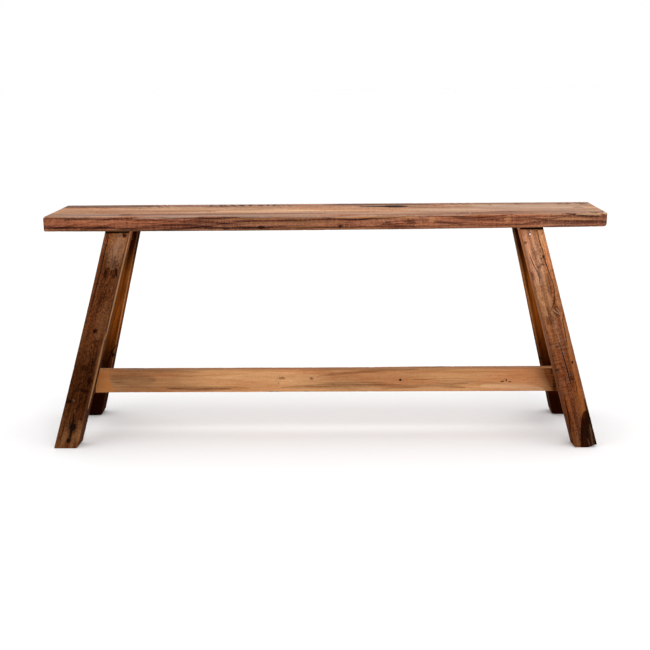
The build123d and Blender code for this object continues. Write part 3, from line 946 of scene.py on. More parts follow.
SEAT_FRONT_MARKS = [
    Stroke("dark", ((36, 223.6), (90, 223.2), (150, 222.4)), 0.03, 0.16),
    Stroke("dark", ((43, 218.6), (70, 218.9), (124, 219.6)), 0.0044, 0.72),
    Stroke("warm", ((38, 223), (96, 222), (170, 220.6)), 0.03, 0.2),
    Stroke("dark", ((44, 225.6), (70, 225), (108, 226.4)), 0.003, 0.6),
    Stroke("dark", ((43, 228.6), (80, 227.8), (140, 229.6)), 0.0066, 0.9),
    Stroke("dark", ((132, 221.4), (150, 220.6), (170, 219)), 0.0026, 0.7),
    Stroke("dark", ((120, 230), (166, 226), (214, 221.4)), 0.016, 0.5),
    Stroke("dark", ((166, 224.8), (192, 221.8), (226, 219)), 0.007, 0.45),
    Stroke("dark", ((152, 229.6), (190, 228), (232, 222)), 0.006, 0.85),
    Stroke("dark", ((186, 221), (205, 218.8), (240, 217.6)), 0.0036, 0.9),
    Stroke("dark", ((140, 224.4), (155.7, 223.4), (172, 222)), 0.0024, 0.8),
    Stroke("black", ((160, 230.4), (176, 230.2), (196, 229.8)), 0.0026, 0.6),
    Stroke("dark", ((196, 229), (232, 228.2), (282, 228)), 0.009, 0.7),
    Stroke("dark", ((222, 222.8), (252, 221.2), (290, 220.6)), 0.003, 0.75),
    Stroke("dark", ((266, 220.8), (306, 220), (344, 219.6)), 0.0028, 0.85),
    Stroke("dust_and_sheen", ((132, 218.4), (164, 217.6), (200, 216.8)), 0.007, 0.42),
    Stroke("light", ((204, 219.6), (262, 218.8), (330, 217.8)), 0.006, 0.3),
    Stroke("light", ((236, 223.6), (290, 223), (346, 222.2)), 0.01, 0.26),
    Stroke("light", ((330, 217.6), (372, 217.2), (420, 217)), 0.006, 0.65),
    Stroke("light", ((284, 227), (306, 226.6), (334, 226.2)), 0.007, 0.3),
    Blot("dark", (394, 226), 0.09, 0.015, 0.8),
    Stroke("light", ((544, 218.6), (566, 218.6), (592, 219)), 0.008, 0.4),
    Stroke("dark", ((498, 216.2), (520, 217.2), (544, 214.8)), 0.006, 0.5),
    Stroke("dark", ((400, 226.6), (470, 225.8), (540, 224.8)), 0.009, 0.42),
    Stroke("dark", ((456, 218.6), (482, 218.2), (512, 216.6)), 0.005, 0.6),
    Stroke("dark", ((240, 229.4), (320, 227.6), (402, 227.2)), 0.008, 0.55),
    Stroke("dark", ((330, 219.6), (362, 219.4), (406, 216.6)), 0.0032, 0.95),
    Stroke("dark", ((352, 227.8), (372, 227.2), (396, 227)), 0.0018, 0.85),
    Stroke("dark", ((396, 227), (408, 227.6), (424, 228)), 0.003, 0.8),
    Stroke("dark", ((426, 216), (450, 216.3), (478, 216.6)), 0.003, 0.9),
    Stroke("dark", ((452, 216.6), (484, 217.3), (512, 214.4)), 0.006, 1),
    Stroke("dark", ((470, 220.4), (490, 219.8), (508, 217.6)), 0.003, 0.7),
    Stroke("dark", ((510, 213.6), (536, 218.9), (576, 213.4)), 0.0042, 0.75),
    Stroke("dark", ((548, 212.9), (563, 212.5), (579, 214)), 0.004, 0.95),
    Stroke("black", ((562, 212.7), (583, 215.7), (600, 216.1)), 0.0046, 0.9),
    Stroke("fresh", ((602, 212.6), (605, 213.2), (607, 214.4)), 0.004, 0.75),
    Stroke("shade", ((43, 230.9), (140, 231.2), (270, 230.2)), 0.006, 0.7),
    Stroke("shade", ((230, 230.5), (420, 228.6), (607, 226.2)), 0.004, 0.6),
    Stroke("dark", ((576, 221.6), (592, 220.6), (607, 220.6)), 0.005, 0.5),
    Stroke("dark", ((540, 226.8), (576, 226), (607, 225)), 0.004, 0.6),
    # Painted highlight along the front arris.
    Stroke("dust_and_sheen", ((236, 217.1), (300, 216.8), (362, 216.5)), 0.0034, 0.6),
    Stroke("dust_and_sheen", ((330, 216.5), (400, 215.8), (474, 215.1)), 0.003, 0.6),
    Blot("dark", (226, 228.6), 0.018, 0.01, 1),
    Blot("dark", (261, 227.4), 0.02, 0.009, 1),
    Stroke("black", ((256, 228.2), (261, 226.4), (266, 228.4)), 0.0018, 0.75),
    Blot("black", (340.2, 226.4), 0.009, 0.0034, 0.95),
    Blot("dark", (340.2, 226.4), 0.016, 0.007, 0.8),
    Stroke("black", ((383.6, 228), (387.6, 222.4), (391.8, 228)), 0.0024, 0.8),
    Stroke("dark", ((382, 226.6), (387.6, 221.4), (393.6, 226.6)), 0.004, 0.6),
    Blot("dark", (411, 222.5), 0.03, 0.016, 0.7),
    Blot("dark", (412, 226.5), 0.026, 0.008, 0.75),
    Blot("light", (432, 219.6), 0.018, 0.015, 0.4),
    Blot("light", (508, 218.6), 0.018, 0.014, 0.4),
    Blot("saw", (456, 221), 0.09, 0.022, 0.22),
    Blot("saw", (286, 224), 0.15, 0.02, 0.16),
]

SEAT_TOP_MARKS = [
    Stroke("dark", ((52, 207.2), (100, 206.8), (160, 206.2)), 0.09, 0.78),
    Stroke("dark", ((160, 206.4), (240, 206), (350, 205.6)), 0.04, 0.4),
    Stroke("dark", ((322, 204.9), (368, 204.7), (430, 204.7)), 0.06, 0.84),
    Stroke("dark", ((66, 205.9), (74, 205.7), (84, 205.8)), 0.03, 0.9),
    Stroke("dark", ((84, 206.6), (96, 206.4), (108, 206.6)), 0.026, 0.7),
    Stroke("dark", ((334, 204), (352, 203.9), (376, 203.9)), 0.026, 0.75),
    Stroke("dark", ((376, 204.2), (392, 203.8), (414, 203.7)), 0.024, 0.6),
    Stroke("dark", ((556, 203.9), (559, 203.8), (562, 203.9)), 0.03, 0.9),
    Stroke("dark", ((565.6, 203.7), (568.6, 203.5), (571.4, 203.8)), 0.03, 0.9),
    Stroke("dark", ((579, 203.8), (583.5, 203.6), (588, 204)), 0.03, 0.9),
    Stroke("dark", ((573, 207.4), (578, 207), (584, 207.4)), 0.03, 0.6),
    Stroke("black", ((358, 206.7), (385, 206.4), (408, 206.5)), 0.034, 1),
    Stroke("black", ((382, 206.4), (397, 206.3), (408, 206.5)), 0.062, 1),
    Stroke("dark", ((355, 207), (383, 206.5), (410, 206.8)), 0.03, 0.8),
    Stroke("dark", ((404, 206.8), (428, 207.5), (452, 208)), 0.011, 0.95),
    Stroke("dark", ((40, 215.9), (200, 214.4), (350, 213.2)), 0.03, 0.62),
    Stroke("dark", ((310, 213), (440, 212.6), (590, 210.8)), 0.014, 0.45),
    Stroke("dark", ((100, 208), (230, 207.8), (350, 207.2)), 0.013, 0.5),
    Stroke("dark", ((236, 209.6), (250, 209.5), (264, 209.6)), 0.008, 0.7),
    Stroke("light", ((280, 209.6), (306, 209.3), (336, 209.4)), 0.02, 0.45),
    Stroke("light", ((336, 210.6), (356, 210.8), (386, 211)), 0.018, 0.4),
    Blot("dark", (133, 206), 0.034, 0.032, 0.85),
    Blot("dark", (97, 211.9), 0.012, 0.02, 0.7),
    Blot("dark", (125, 214.8), 0.036, 0.03, 1),
    Blot("dark", (209.6, 211.4), 0.005, 0.012, 1),
    Blot("dark", (180, 206.2), 0.02, 0.03, 0.6),
    Blot("black", (211, 205.9), 0.01, 0.036, 0.75),
    Blot("black", (221, 205.4), 0.008, 0.04, 0.6),
    Blot("black", (232.6, 205.7), 0.014, 0.024, 0.7),
    Blot("black", (242, 205.6), 0.016, 0.03, 0.9),
    Blot("black", (250.6, 205.3), 0.011, 0.042, 0.75),
    Blot("black", (260.6, 205.6), 0.017, 0.026, 0.85),
    Blot("black", (268, 205.2), 0.008, 0.036, 0.8),
    Blot("black", (274, 205.1), 0.009, 0.036, 0.75),
    Blot("dark", (290, 205.6), 0.01, 0.03, 0.6),
    Stroke("black", ((474, 205.6), (476.4, 204.6), (477.4, 203.2)), 0.006, 0.8),
    Blot("dark", (490, 205), 0.007, 0.036, 0.8),
    Blot("black", (517, 203.8), 0.022, 0.016, 0.85),
    Blot("dust_and_sheen", (575, 206.8), 0.026, 0.04, 0.45),
    Blot("dark", (505, 211.6), 0.09, 0.026, 0.55),
    Blot("fresh", (166.6, 205.8), 0.004, 0.016, 0.9),
    Blot("fresh", (470.4, 212.8), 0.004, 0.011, 1),
    Blot("dust_and_sheen", (544, 206.2), 0.018, 0.018, 0.5),
    Stroke("black", ((588.6, 211.9), (594, 212), (600, 211.9)), 0.015, 0.85),
    Blot("black", (602.4, 210.9), 0.006, 0.024, 0.8),
    Blot("fresh", (604.6, 212), 0.006, 0.018, 0.9),
    # Pale strokes along the front and back of the top: partly dust, partly painted sheen.
    Stroke("dust_and_sheen", ((46, 215.6), (90, 215.3), (130, 215.2)), 0.044, 0.55),
    Stroke("dust_and_sheen", ((130, 215.2), (240, 214.6), (345, 213.8)), 0.036, 0.45),
    Stroke("dust_and_sheen", ((340, 213.6), (390, 213), (460, 212.8)), 0.03, 0.4),
    Stroke("dust_and_sheen", ((470, 206), (540, 206), (590, 206.4)), 0.12, 0.5),
    Stroke("dust_and_sheen", ((400, 209.6), (490, 208.8), (594, 208.6)), 0.12, 0.4),
    Stroke("dust_and_sheen", ((460, 212.2), (520, 211.6), (590, 210.8)), 0.04, 0.1),
    Stroke("fresh", ((215, 211.4), (262, 210.8), (320, 210.2)), 0.07, 0.4),
    Stroke("fresh", ((400, 209.6), (440, 209.2), (486, 208.8)), 0.05, 0.28),
    Stroke("fresh", ((322, 213.4), (372, 212.9), (424, 212.4)), 0.032, 0.3),
    Stroke("fresh", ((440, 205.4), (478, 205), (508, 204.8)), 0.036, 0.4),
    Stroke("dark", ((56, 212), (120, 211.4), (220, 210.6)), 0.08, 0.38),
    Stroke("dust_and_sheen", ((510, 209.6), (560, 209), (600, 209)), 0.08, 0.4),
    Stroke("dark", ((560, 209.6), (580, 209.4), (599, 208.8)), 0.01, 0.6),
]

LEFT_LEG_MARKS = [
    # Painted shadow under the seat across the leg's top.
    Zone("black", ((105, 234.4), (118, 234.2), (130, 234)), 1, 0.0036, 1),
    Stroke("crack", ((109.2, 233.8), (101.5, 266), (97, 286)), 0.0022, 0.95),
    Stroke("crack", ((97.4, 282), (93.8, 298), (89.4, 314)), 0.002, 0.8),
    Stroke("light", ((122, 228), (117, 246), (110, 270)), 0.056, 0.18),
    Stroke("dust_and_sheen", ((122, 232), (117, 250), (112, 270)), 0.04, 0.14),
    Stroke("light", ((106, 300), (102, 318), (97, 340)), 0.03, 0.1),
    Blot("dark", (124.3, 235.6), 0.011, 0.012, 1),
    Blot("black", (124, 236), 0.006, 0.006, 0.6),
    Stroke("light", ((80, 420), (75, 436), (70, 449)), 0.026, 0.14),
    Stroke("light", ((69, 424), (64, 438), (58, 450)), 0.02, 0.14),
    Blot("dark", (104.6, 266), 0.06, 0.013, 0.36),
    Blot("stain_and_shade", (112, 268), 0.076, 0.034, 1),
    Blot("stain_and_shade", (106, 279), 0.046, 0.038, 0.9),
    Blot("stain_and_shade", (102, 306), 0.09, 0.03, 0.55),
    Blot("stain_and_shade", (88, 366), 0.16, 0.046, 0.6),
    Blot("dark", (112.5, 268), 0.05, 0.026, 0.55),
    Blot("dark", (106.5, 274), 0.026, 0.02, 0.6),
    Blot("black", (116, 271), 0.016, 0.008, 0.6),
    Blot("black", (113.4, 276.5), 0.012, 0.008, 0.55),
    Blot("black", (104.6, 274.5), 0.018, 0.008, 0.5),
    Stroke("dark", ((117, 264.4), (114.4, 260.4), (111, 257.6)), 0.0024, 1),
    Stroke("dark", ((117.6, 259.4), (115.4, 263.4), (112.6, 266.4)), 0.0022, 0.8),
    Stroke("dark", ((111.8, 244), (112.6, 252), (112, 262)), 0.0018, 0.75),
    Blot("dark", (102, 300), 0.05, 0.02, 0.45),
    Blot("dark", (95.2, 331), 0.013, 0.012, 1),
    Blot("black", (95.4, 331.4), 0.008, 0.007, 0.7),
    Stroke("black", ((89.2, 362.8), (92.6, 363.6), (97, 362.8)), 0.0046, 0.9),
    Stroke("black", ((93.2, 358), (92, 366), (90.6, 374)), 0.0036, 0.9),
    Stroke("dark", ((99.4, 338), (96.4, 352), (93, 366)), 0.0034, 0.9),
    Blot("dark", (85, 368.5), 0.01, 0.022, 0.65),
    Blot("dark", (89.5, 381), 0.022, 0.012, 0.8),
    Blot("black", (88, 384), 0.009, 0.006, 0.55),
    Blot("dark", (84, 391), 0.01, 0.026, 0.8),
    Blot("dust_and_sheen", (73.6, 400.5), 0.008, 0.005, 0.14),
    Blot("dark", (68.5, 401.5), 0.01, 0.016, 0.8),
    Blot("black", (72.6, 426.6), 0.02, 0.018, 1),
    Stroke("black", ((73.7, 412.5), (73.2, 420), (72.6, 428)), 0.0066, 1),
    Stroke("black", ((72, 428), (70.6, 435), (68.6, 443)), 0.007, 0.9),
    Blot("black", (68.4, 440.5), 0.015, 0.012, 0.95),
    Blot("dark", (72, 427), 0.04, 0.03, 0.7),
    Stroke("dark", ((65, 420), (62, 434), (59, 446)), 0.004, 0.7),
    Blot("light", (77.5, 434), 0.04, 0.018, 0.22),
    Blot("light", (62.5, 440), 0.026, 0.01, 0.14),
]

LEFT_LEG_SIDE_MARKS = [
    Stroke("light", ((132.4, 224), (119.3, 281), (105.3, 341)), 0.026, 0.96),
    Stroke("light", ((106, 332), (96.4, 374), (88, 410)), 0.032, 0.7),
]

RIGHT_LEG_MARKS = [
    # Painted shadow under the seat across the leg's top.
    Zone("black", ((519, 230.4), (531, 230.4), (543, 230.4)), 1, 0.003, 1),
    Stroke("crack", ((537.4, 229.6), (540.4, 244), (545.2, 256.4)), 0.002, 1),
    Stroke("crack", ((543.6, 255.6), (547.6, 268), (551, 278)), 0.0024, 1),
    Stroke("crack", ((550.6, 276), (554, 288), (553.6, 301)), 0.0019, 0.9),
    Stroke("crack", ((529.4, 253), (533.2, 264), (538.2, 273)), 0.0022, 1),
    Stroke("crack", ((537.6, 271), (539.2, 277), (539.6, 284)), 0.0018, 0.85),
    Stroke("crack", ((559.4, 342), (565, 362), (571.5, 386)), 0.0027, 1),
    Stroke("crack", ((563.6, 396), (568.5, 416), (571.5, 440)), 0.0028, 1),
    Stroke("crack", ((562, 318), (565, 332), (567.4, 346)), 0.0022, 0.9),
    Stroke("dark", ((584, 400), (588.5, 414), (592, 428)), 0.0024, 0.8),
    Stroke("black", ((540.4, 254.6), (544, 256.2), (549.6, 254)), 0.0044, 0.95),
    Blot("black", (543.6, 256.4), 0.009, 0.007, 0.95),
    Blot("stain_and_shade", (540, 256), 0.064, 0.038, 0.8),
    Blot("stain_and_shade", (554, 262), 0.08, 0.02, 0.6),
    Blot("stain_and_shade", (552, 330), 0.1, 0.04, 0.5),
    Blot("stain_and_shade", (570, 392), 0.13, 0.04, 0.6),
    Blot("stain_and_shade", (577, 425), 0.09, 0.04, 0.7),
    Stroke("dark", ((527, 241.6), (530.6, 242.4), (534.6, 241.8)), 0.002, 0.8),
    Stroke("dark", ((534, 244.8), (538, 245.6), (541, 244.4)), 0.0018, 0.75),
    Stroke("dark", ((532, 249), (536, 250.2), (541.6, 249)), 0.0018, 0.8),
    Stroke("dark", ((534.6, 257.4), (538.4, 258.8), (543, 258.2)), 0.0022, 0.95),
    Stroke("dark", ((535.6, 262.4), (540, 263.6), (545.6, 262.4)), 0.0022, 0.9),
    Stroke("dark", ((536.4, 267), (541, 267.8), (546.6, 266.4)), 0.0018, 0.8),
    Stroke("dark", ((549.6, 246), (551, 249), (549.8, 252)), 0.002, 0.6),
    Blot("dark", (532, 275.5), 0.017, 0.007, 1),
    Blot("dark", (533.4, 279), 0.01, 0.006, 0.8),
    Blot("dark", (525.6, 242.6), 0.007, 0.008, 0.8),
    Blot("dark", (548.5, 284), 0.06, 0.016, 0.5),
    Stroke("dark", ((541, 270), (548, 286), (552, 298)), 0.006, 0.4),
    Stroke("dark", ((553.6, 294), (554, 303), (549, 312)), 0.005, 0.9),
    Stroke("dark", ((560.6, 300), (563.6, 310), (562.4, 322)), 0.0036, 0.7),
    Stroke("light", ((535, 290), (540, 300), (546, 306)), 0.008, 0.45),
    Blot("dark", (556, 311), 0.03, 0.024, 0.55),
    Stroke("dark", ((548.6, 306), (549.4, 314), (556, 319)), 0.004, 0.8),
    Stroke("fresh", ((553, 308.8), (556.4, 312.4), (560.4, 315)), 0.004, 0.24),
    Stroke("fresh", ((555.4, 307.6), (558, 311), (559.6, 314)), 0.0036, 0.24),
    Stroke("black", ((554.6, 307.8), (557.6, 312.2), (559, 314.6)), 0.0016, 0.5),
    Stroke("black", ((553, 310.6), (556, 313.6), (560, 315)), 0.0024, 0.75),
    Blot("dark", (551, 320), 0.03, 0.024, 0.6),
    Blot("saw", (556, 346), 0.13, 0.06, 0.6),
    Blot("saw", (562, 378), 0.1, 0.064, 0.5),
    Blot("saw", (540, 256), 0.09, 0.04, 0.4),
    Stroke("dark", ((549, 334), (558, 372), (566, 404)), 0.016, 0.4),
    Stroke("dark", ((565, 404), (571, 426), (576, 447)), 0.02, 0.35),
    Stroke("light", ((563.4, 328), (567.6, 340), (570.4, 351)), 0.007, 0.35),
    Stroke("warm", ((543, 240), (562, 318), (585, 404)), 0.04, 0.5),
    Stroke("dust_and_sheen", ((558.6, 366.4), (561.4, 365.6), (563, 362.8)), 0.0024, 0.6),
    Blot("dark", (553, 352), 0.1, 0.03, 0.25),
    Blot("black", (572.3, 362.4), 0.007, 0.006, 1),
    Blot("dark", (572, 376), 0.032, 0.012, 0.6),
    Stroke("dark", ((573, 374), (576, 384), (577.4, 396)), 0.003, 0.8),
    Blot("black", (557.5, 371), 0.012, 0.01, 0.6),
    Zone("shade", ((581, 446.4), (580.6, 425.5), (586.2, 409.6)), -1, 0.004, 0.94),
    Stroke("black", ((583.6, 398), (588, 416), (590.4, 430)), 0.006, 0.8),
    Stroke("black", ((581.6, 424), (581.9, 437), (583.6, 447)), 0.009, 0.7),
    Stroke("black", ((586, 418), (586.4, 430), (588, 441)), 0.008, 0.6),
    Stroke("black", ((593.4, 434), (595, 440), (596.2, 446)), 0.005, 0.6),
    Stroke("fresh", ((589.6, 424), (591.6, 436), (593.2, 447)), 0.006, 0.06),
    Stroke("fresh", ((587, 438), (588.6, 442), (590.2, 447)), 0.004, 0.05),
    Stroke("warm", ((547, 316), (562, 380), (574, 447)), 0.036, 1),
    Stroke("warm", ((566, 346), (578, 392), (588, 430)), 0.034, 1),
    Stroke("light", ((564, 320), (573, 362), (579.6, 398)), 0.018, 0.2),
    Stroke("light", ((574.6, 380), (580.6, 400), (583.6, 419)), 0.026, 0.22),
    Stroke("dust_and_sheen", ((524, 226), (533, 256), (540, 286)), 0.056, 0.16),
]

REAR_LEFT_LEG_MARKS = [
    Zone("shade", ((93, 392), (99, 392), (106, 392)), -1, 0.01, 0.65),
    # Painted shade just above the stretcher: a dark streak and a darker patch.
    Stroke("black", ((116.2, 345), (111, 354.4), (106.4, 368)), 0.006, 0.85),
    Blot("black", (113.2, 355), 0.011, 0.009, 0.9),
    Blot("stain_and_shade", (111, 356), 0.08, 0.034, 0.9),
    # Painted shadow of the front leg along the edge next to it.
    Stroke("dark", ((132.6, 238), (124, 280), (114, 320)), 0.009, 0.5),
    Stroke("dark", ((123.4, 300), (119.6, 318), (114.2, 340)), 0.005, 0.5),
    Stroke("light", ((139.4, 240), (129, 290), (118.4, 346)), 0.005, 0.8),
]

REAR_LEFT_LEG_SIDE_MARKS = [
    # Painted highlight along the inner side.
    Stroke("light", ((143.4, 232), (132.8, 290), (121.8, 350)), 0.044, 0.9),
]

REAR_RIGHT_LEG_MARKS = [
    Zone("shade", ((549, 392), (554, 392), (560, 392)), -1, 0.01, 0.4),
    # Painted shade just above the stretcher, next to the front leg.
    Stroke("dark", ((527.6, 322), (531.6, 340), (537.6, 350)), 0.006, 0.8),
    Stroke("dark", ((532, 346), (537, 354), (543, 360)), 0.005, 0.9),
    Stroke("dark", ((534.6, 352), (539, 346), (542, 338)), 0.004, 0.75),
    Blot("stain_and_shade", (538, 356), 0.08, 0.034, 0.8),
    # Painted shadow of the front leg along the edge next to it.
    Stroke("dark", ((518.6, 240), (524, 268), (531, 300)), 0.008, 0.5),
    Stroke("dark", ((527, 280), (531.6, 300), (533.4, 322)), 0.004, 0.5),
]

REAR_RIGHT_LEG_SIDE_MARKS = [
    # Painted highlight along the inner side.
    Stroke("light", ((513.6, 232), (524.4, 290), (536, 350)), 0.036, 0.7),
]

STRETCHER_MARKS = [
    # At the left end the wood is lighter and more orange up to a sharp curved line, and a little darker past
    # it.
    Zone("warm", ((109.6, 369), (110.6, 380), (115.2, 391.6)), -1, 0.0012, 0.8),
    Zone("light", ((109.6, 369), (110.6, 380), (115.2, 391.6)), -1, 0.0012, 0.45),
    Stroke("dark", ((110, 379), (124, 379.6), (156, 380)), 0.044, 0.3),
    Stroke("fresh", ((480, 386), (514, 386.6), (544, 389)), 0.022, 0.36),
    # Painted shade at the right end: darker towards the front leg, warmer past a sharp slanted line, darkest
    # close beside the leg.
    Zone("shade", ((530, 367), (535, 379), (544, 390.6)), 1, 0.034, 0.66),
    Zone("shade", ((542, 367), (546, 379), (551.4, 390.6)), 1, 0.003, 0.66),
    Zone("warm", ((542, 367), (546, 379), (551.4, 390.6)), 1, 0.003, 1),
    Blot("shade", (551.6, 371), 0.01, 0.024, 0.92),
    Stroke("light", ((103, 387.2), (107, 387), (114, 388.6)), 0.011, 0.7),
    # Painted shade under the top edge next to the right front leg.
    Stroke("dark", ((545, 368), (549, 368.4), (553, 369)), 0.006, 0.6),
    Blot("black", (400.2, 379.9), 0.007, 0.0056, 1),
    Blot("dark", (278.6, 383.2), 0.0044, 0.004, 1),
    Blot("dark", (282, 378.2), 0.018, 0.008, 0.6),
    Blot("dark", (311.6, 378.6), 0.009, 0.008, 0.7),
    Blot("black", (274, 392), 0.028, 0.0036, 0.9),
    Blot("black", (307, 392), 0.022, 0.0032, 0.8),
    Blot("black", (137, 368.6), 0.009, 0.0036, 0.75),
    Blot("black", (506.4, 380.2), 0.0046, 0.006, 0.9),
    Blot("dark", (502.5, 381.4), 0.011, 0.0036, 0.9),
    Blot("dark", (510, 381.8), 0.009, 0.0034, 0.85),
    Stroke("dark", ((412, 379.8), (424, 379.4), (438, 378.8)), 0.0022, 0.7),
    Stroke("dark", ((316, 376.6), (356, 372.2), (420, 369.6)), 0.01, 0.42),
    Stroke("dark", ((380, 388.4), (430, 385.2), (480, 381.4)), 0.012, 0.4),
    Stroke("dark", ((430, 383.2), (476, 381.8), (540, 390)), 0.009, 0.2),
    Stroke("dark", ((120, 387.6), (190, 387.4), (250, 388)), 0.011, 0.24),
    Stroke("dark", ((112, 372), (150, 371.4), (200, 372)), 0.007, 0.35),
    Stroke("dark", ((280, 387.6), (320, 386.2), (372, 387.6)), 0.01, 0.4),
    Stroke("dark", ((316, 384.6), (358, 384), (408, 386.4)), 0.018, 0.45),
    Stroke("dark", ((166, 388.8), (200, 388.4), (232, 388.8)), 0.012, 0.6),
    Stroke("dark", ((424, 386), (446, 386.4), (466, 387.6)), 0.01, 0.5),
    Stroke("light", ((196, 374), (232, 372.4), (276, 373.6)), 0.012, 0.5),
    Stroke("light", ((232, 381), (254, 379), (286, 376)), 0.009, 0.4),
    Stroke("light", ((182, 383.6), (206, 381), (236, 380.4)), 0.01, 0.4),
    Stroke("light", ((430, 374.6), (466, 377), (524, 387.6)), 0.012, 0.4),
    Stroke("light", ((440, 389.2), (466, 387.4), (500, 390.4)), 0.008, 0.45),
    Blot("dark", (121.5, 378), 0.008, 0.036, 0.32),
    Blot("dark", (131.5, 377), 0.005, 0.03, 0.22),
    # Painted shade in a band beside the right front leg.
    Blot("dark", (554.6, 382), 0.01, 0.052, 0.8),
]


# Pieces


class BENCH_OT_seat(bpy.types.Operator):
    """Build the worn plank seat"""
    bl_idname = "bench.seat"
    bl_label = "Seat"

    def execute(self, context):
        sizes = context.scene.bench_sizes
        board = level_board("seat_plank")
        half = board.size / 2
        block = board_blank(board, (int(board.size.x / sizes.grid), 60, 14))
        ends = Ends((sizes.seat_left_top, sizes.seat_right_top),
                    (sizes.seat_left_foot, sizes.seat_right_foot))
        shape_board(block, board, sizes.seat_arris, ends, sizes.seat_corner, context.scene.bench_seed.number)
        slit = [place_on_board(board, TOP, pixel) for pixel in SLIT_ENDS]
        for vertex in block.verts:
            self.warp(vertex.co, half, sizes)
            self.break_edge(vertex.co, half, sizes)
            self.raise_back(vertex.co, half)
            self.open_slit(vertex.co, sizes, *slit)
        open_cracks(block, board, TOP, SEAT_TOP_MARKS)
        faces = [(FRONT_EDGE, SEAT_FRONT_MARKS), (TOP, SEAT_TOP_MARKS)]
        material = board_material("Seat_Wood", board, LOOKS["seat_wood"], faces, top_look=self.lay_top)
        finish_piece(block, board, material)
        return {"FINISHED"}

    def warp(self, place, half, sizes):
        """Undercuts the ends, makes the underside uneven and rubs down the front edge."""
        sag, tilt, curve = 1.75, 1.7, 2.1
        rear_share, end_rub, middle_rub, rub_reach = 0.35, 0.9, 1.3, 0.006
        share = place.x / half.x
        lower = 0.5 - place.z / (2 * half.z)
        front = 0.5 - place.y / (2 * half.y)
        place.x *= 1 - lower * sizes.seat_undercut / half.x
        bow = (-sag + tilt * share + curve * share * share) * MILLIMETRE
        place.z += bow * lower * (rear_share + (1 - rear_share) * front)
        rubbed = (end_rub + middle_rub * (1 - share * share)) * MILLIMETRE
        place.z -= rubbed * fade(half.y + place.y, rub_reach, 0.0) * fade(place.z, 0.0, half.z)

    def break_edge(self, place, half, sizes):
        """Breaks a ragged chip out of the front edge near its right end."""
        start, end = sizes.chip_start, sizes.chip_end
        run, slope, height = 0.018, 0.003, 0.009
        ragged = noise.noise(Vector((place.x * 230, place.y * 120, 7.0)))
        along = fade(place.x, start, start + run) * fade(place.x, end, end - run)
        reach = sizes.chip_width * (1 + 0.6 * ragged) * along
        if reach > 0.5 * MILLIMETRE and place.z > 0:
            drop = sizes.chip_depth * (1 + 0.4 * ragged) * fade(half.y + place.y, reach, reach - slope)
            place.z -= drop * fade(place.z, half.z - height, half.z)

    def raise_back(self, place, half):
        """Leaves the back of the top a little higher, just inside the plank's size."""
        raised, start, spare = 0.5 * MILLIMETRE, -0.02, 0.03 * MILLIMETRE
        raised *= fade(place.y, start, half.y) * fade(place.z, 0.0, half.z)
        place.z = min(place.z + raised, half.z - spare)

    def open_slit(self, place, sizes, start, end):
        """Hollows a lens-shaped slit in the top, widest near its right end."""
        share = (place.x - start.x) / (end.x - start.x)
        if 0 < share < 1 and place.z > 0:
            middle = start.y + (end.y - start.y) * share
            reach = max(0.1 * MILLIMETRE, sizes.slit_width * math.sin(math.pi * share ** 2.4))
            place.z -= sizes.slit_depth * fade(abs(place.y - middle), reach, reach * 0.3)

    def top_colour(self, wood):
        """Tan wood with grey along the back and front, partly weathered wood and partly painted sheen, and
        slanted saw cuts at the back.
        """
        graph, colours = wood.graph, wood.colours
        x, y, _ = wood.axes
        tan = wood.body("seat_light_and_sheen", "seat_dark", 0.22)
        grey = wood.body("seat_grey_and_sheen", "seat_dark", 0.30)
        slow = graph.noise(wood.place, (6.0, 12.0, 0.0), (5.0, 0.0, 0.0), 3.0)
        wavy = graph.scaled(graph.minus(slow, 0.5), 0.03, y)
        back = graph.fade(wavy, 0.040, 0.060, 0.0, 0.62)
        front = graph.fade(wavy, -0.050, -0.070, 0.0, 0.80)
        top = graph.mix(graph.math("MAXIMUM", back, front), tan, grey)
        top = graph.mix(graph.times(front, 0.45), top, colours.red, "MULTIPLY")
        slanted = graph.join(graph.scaled(y, 0.35, x), y, 0.0)
        teeth = graph.noise(slanted, (190.0, 10.0, 1.0), (1.0, 0.0, 0.0), 2.0)
        patches = graph.noise(wood.place, (9.0, 6.0, 0.0), (9.0, 4.0, 0.0), 2.0)
        cut = graph.product(graph.fade(teeth, 0.52, 0.60), graph.fade(patches, 0.44, 0.56),
                            graph.fade(wavy, 0.035, 0.060), 0.75)
        return graph.mix(cut, top, colours.edge_dark)

    def lay_top(self, wood):
        """Lays the top's wood over that of the edges, and colours the slit's bottom and the broken edge."""
        sizes = bpy.context.scene.bench_sizes
        graph, half = wood.graph, wood.half
        x, y, z = wood.axes
        top = self.top_colour(wood)
        wood.paint(graph.fade(z, half.z - 0.0035, half.z - 0.0015), top)
        hollow = graph.product(graph.fade(y, 0.03 - half.y, 0.04 - half.y),
                               graph.fade(y, half.y - 0.008, half.y - 0.012),
                               graph.fade(graph.math("ABSOLUTE", x), half.x - 0.010, half.x - 0.016),
                               graph.fade(z, half.z - 0.0012, half.z - 0.0026),
                               graph.fade(z, half.z - 0.0070, half.z - 0.0060))
        wood.paint(hollow, wood.colours.crack)
        torn = graph.noise(wood.place, (120.0, 300.0, 300.0), (4.0, 2.0, 7.0), 3.0)
        broken = graph.product(graph.fade(x, sizes.chip_start + 0.002, sizes.chip_start + 0.012),
                               graph.fade(x, sizes.chip_end - 0.004, sizes.chip_end - 0.014),
                               graph.fade(y, 0.0004 - half.y, 0.0012 - half.y),
                               graph.fade(z, half.z - 0.0012, half.z - 0.0024),
                               graph.fade(y, 0.022 - half.y, 0.018 - half.y),
                               graph.fade(torn, 0.15, 0.60, 0.35, 1.0), 0.45)
        wood.paint(broken, wood.colours.fresh)


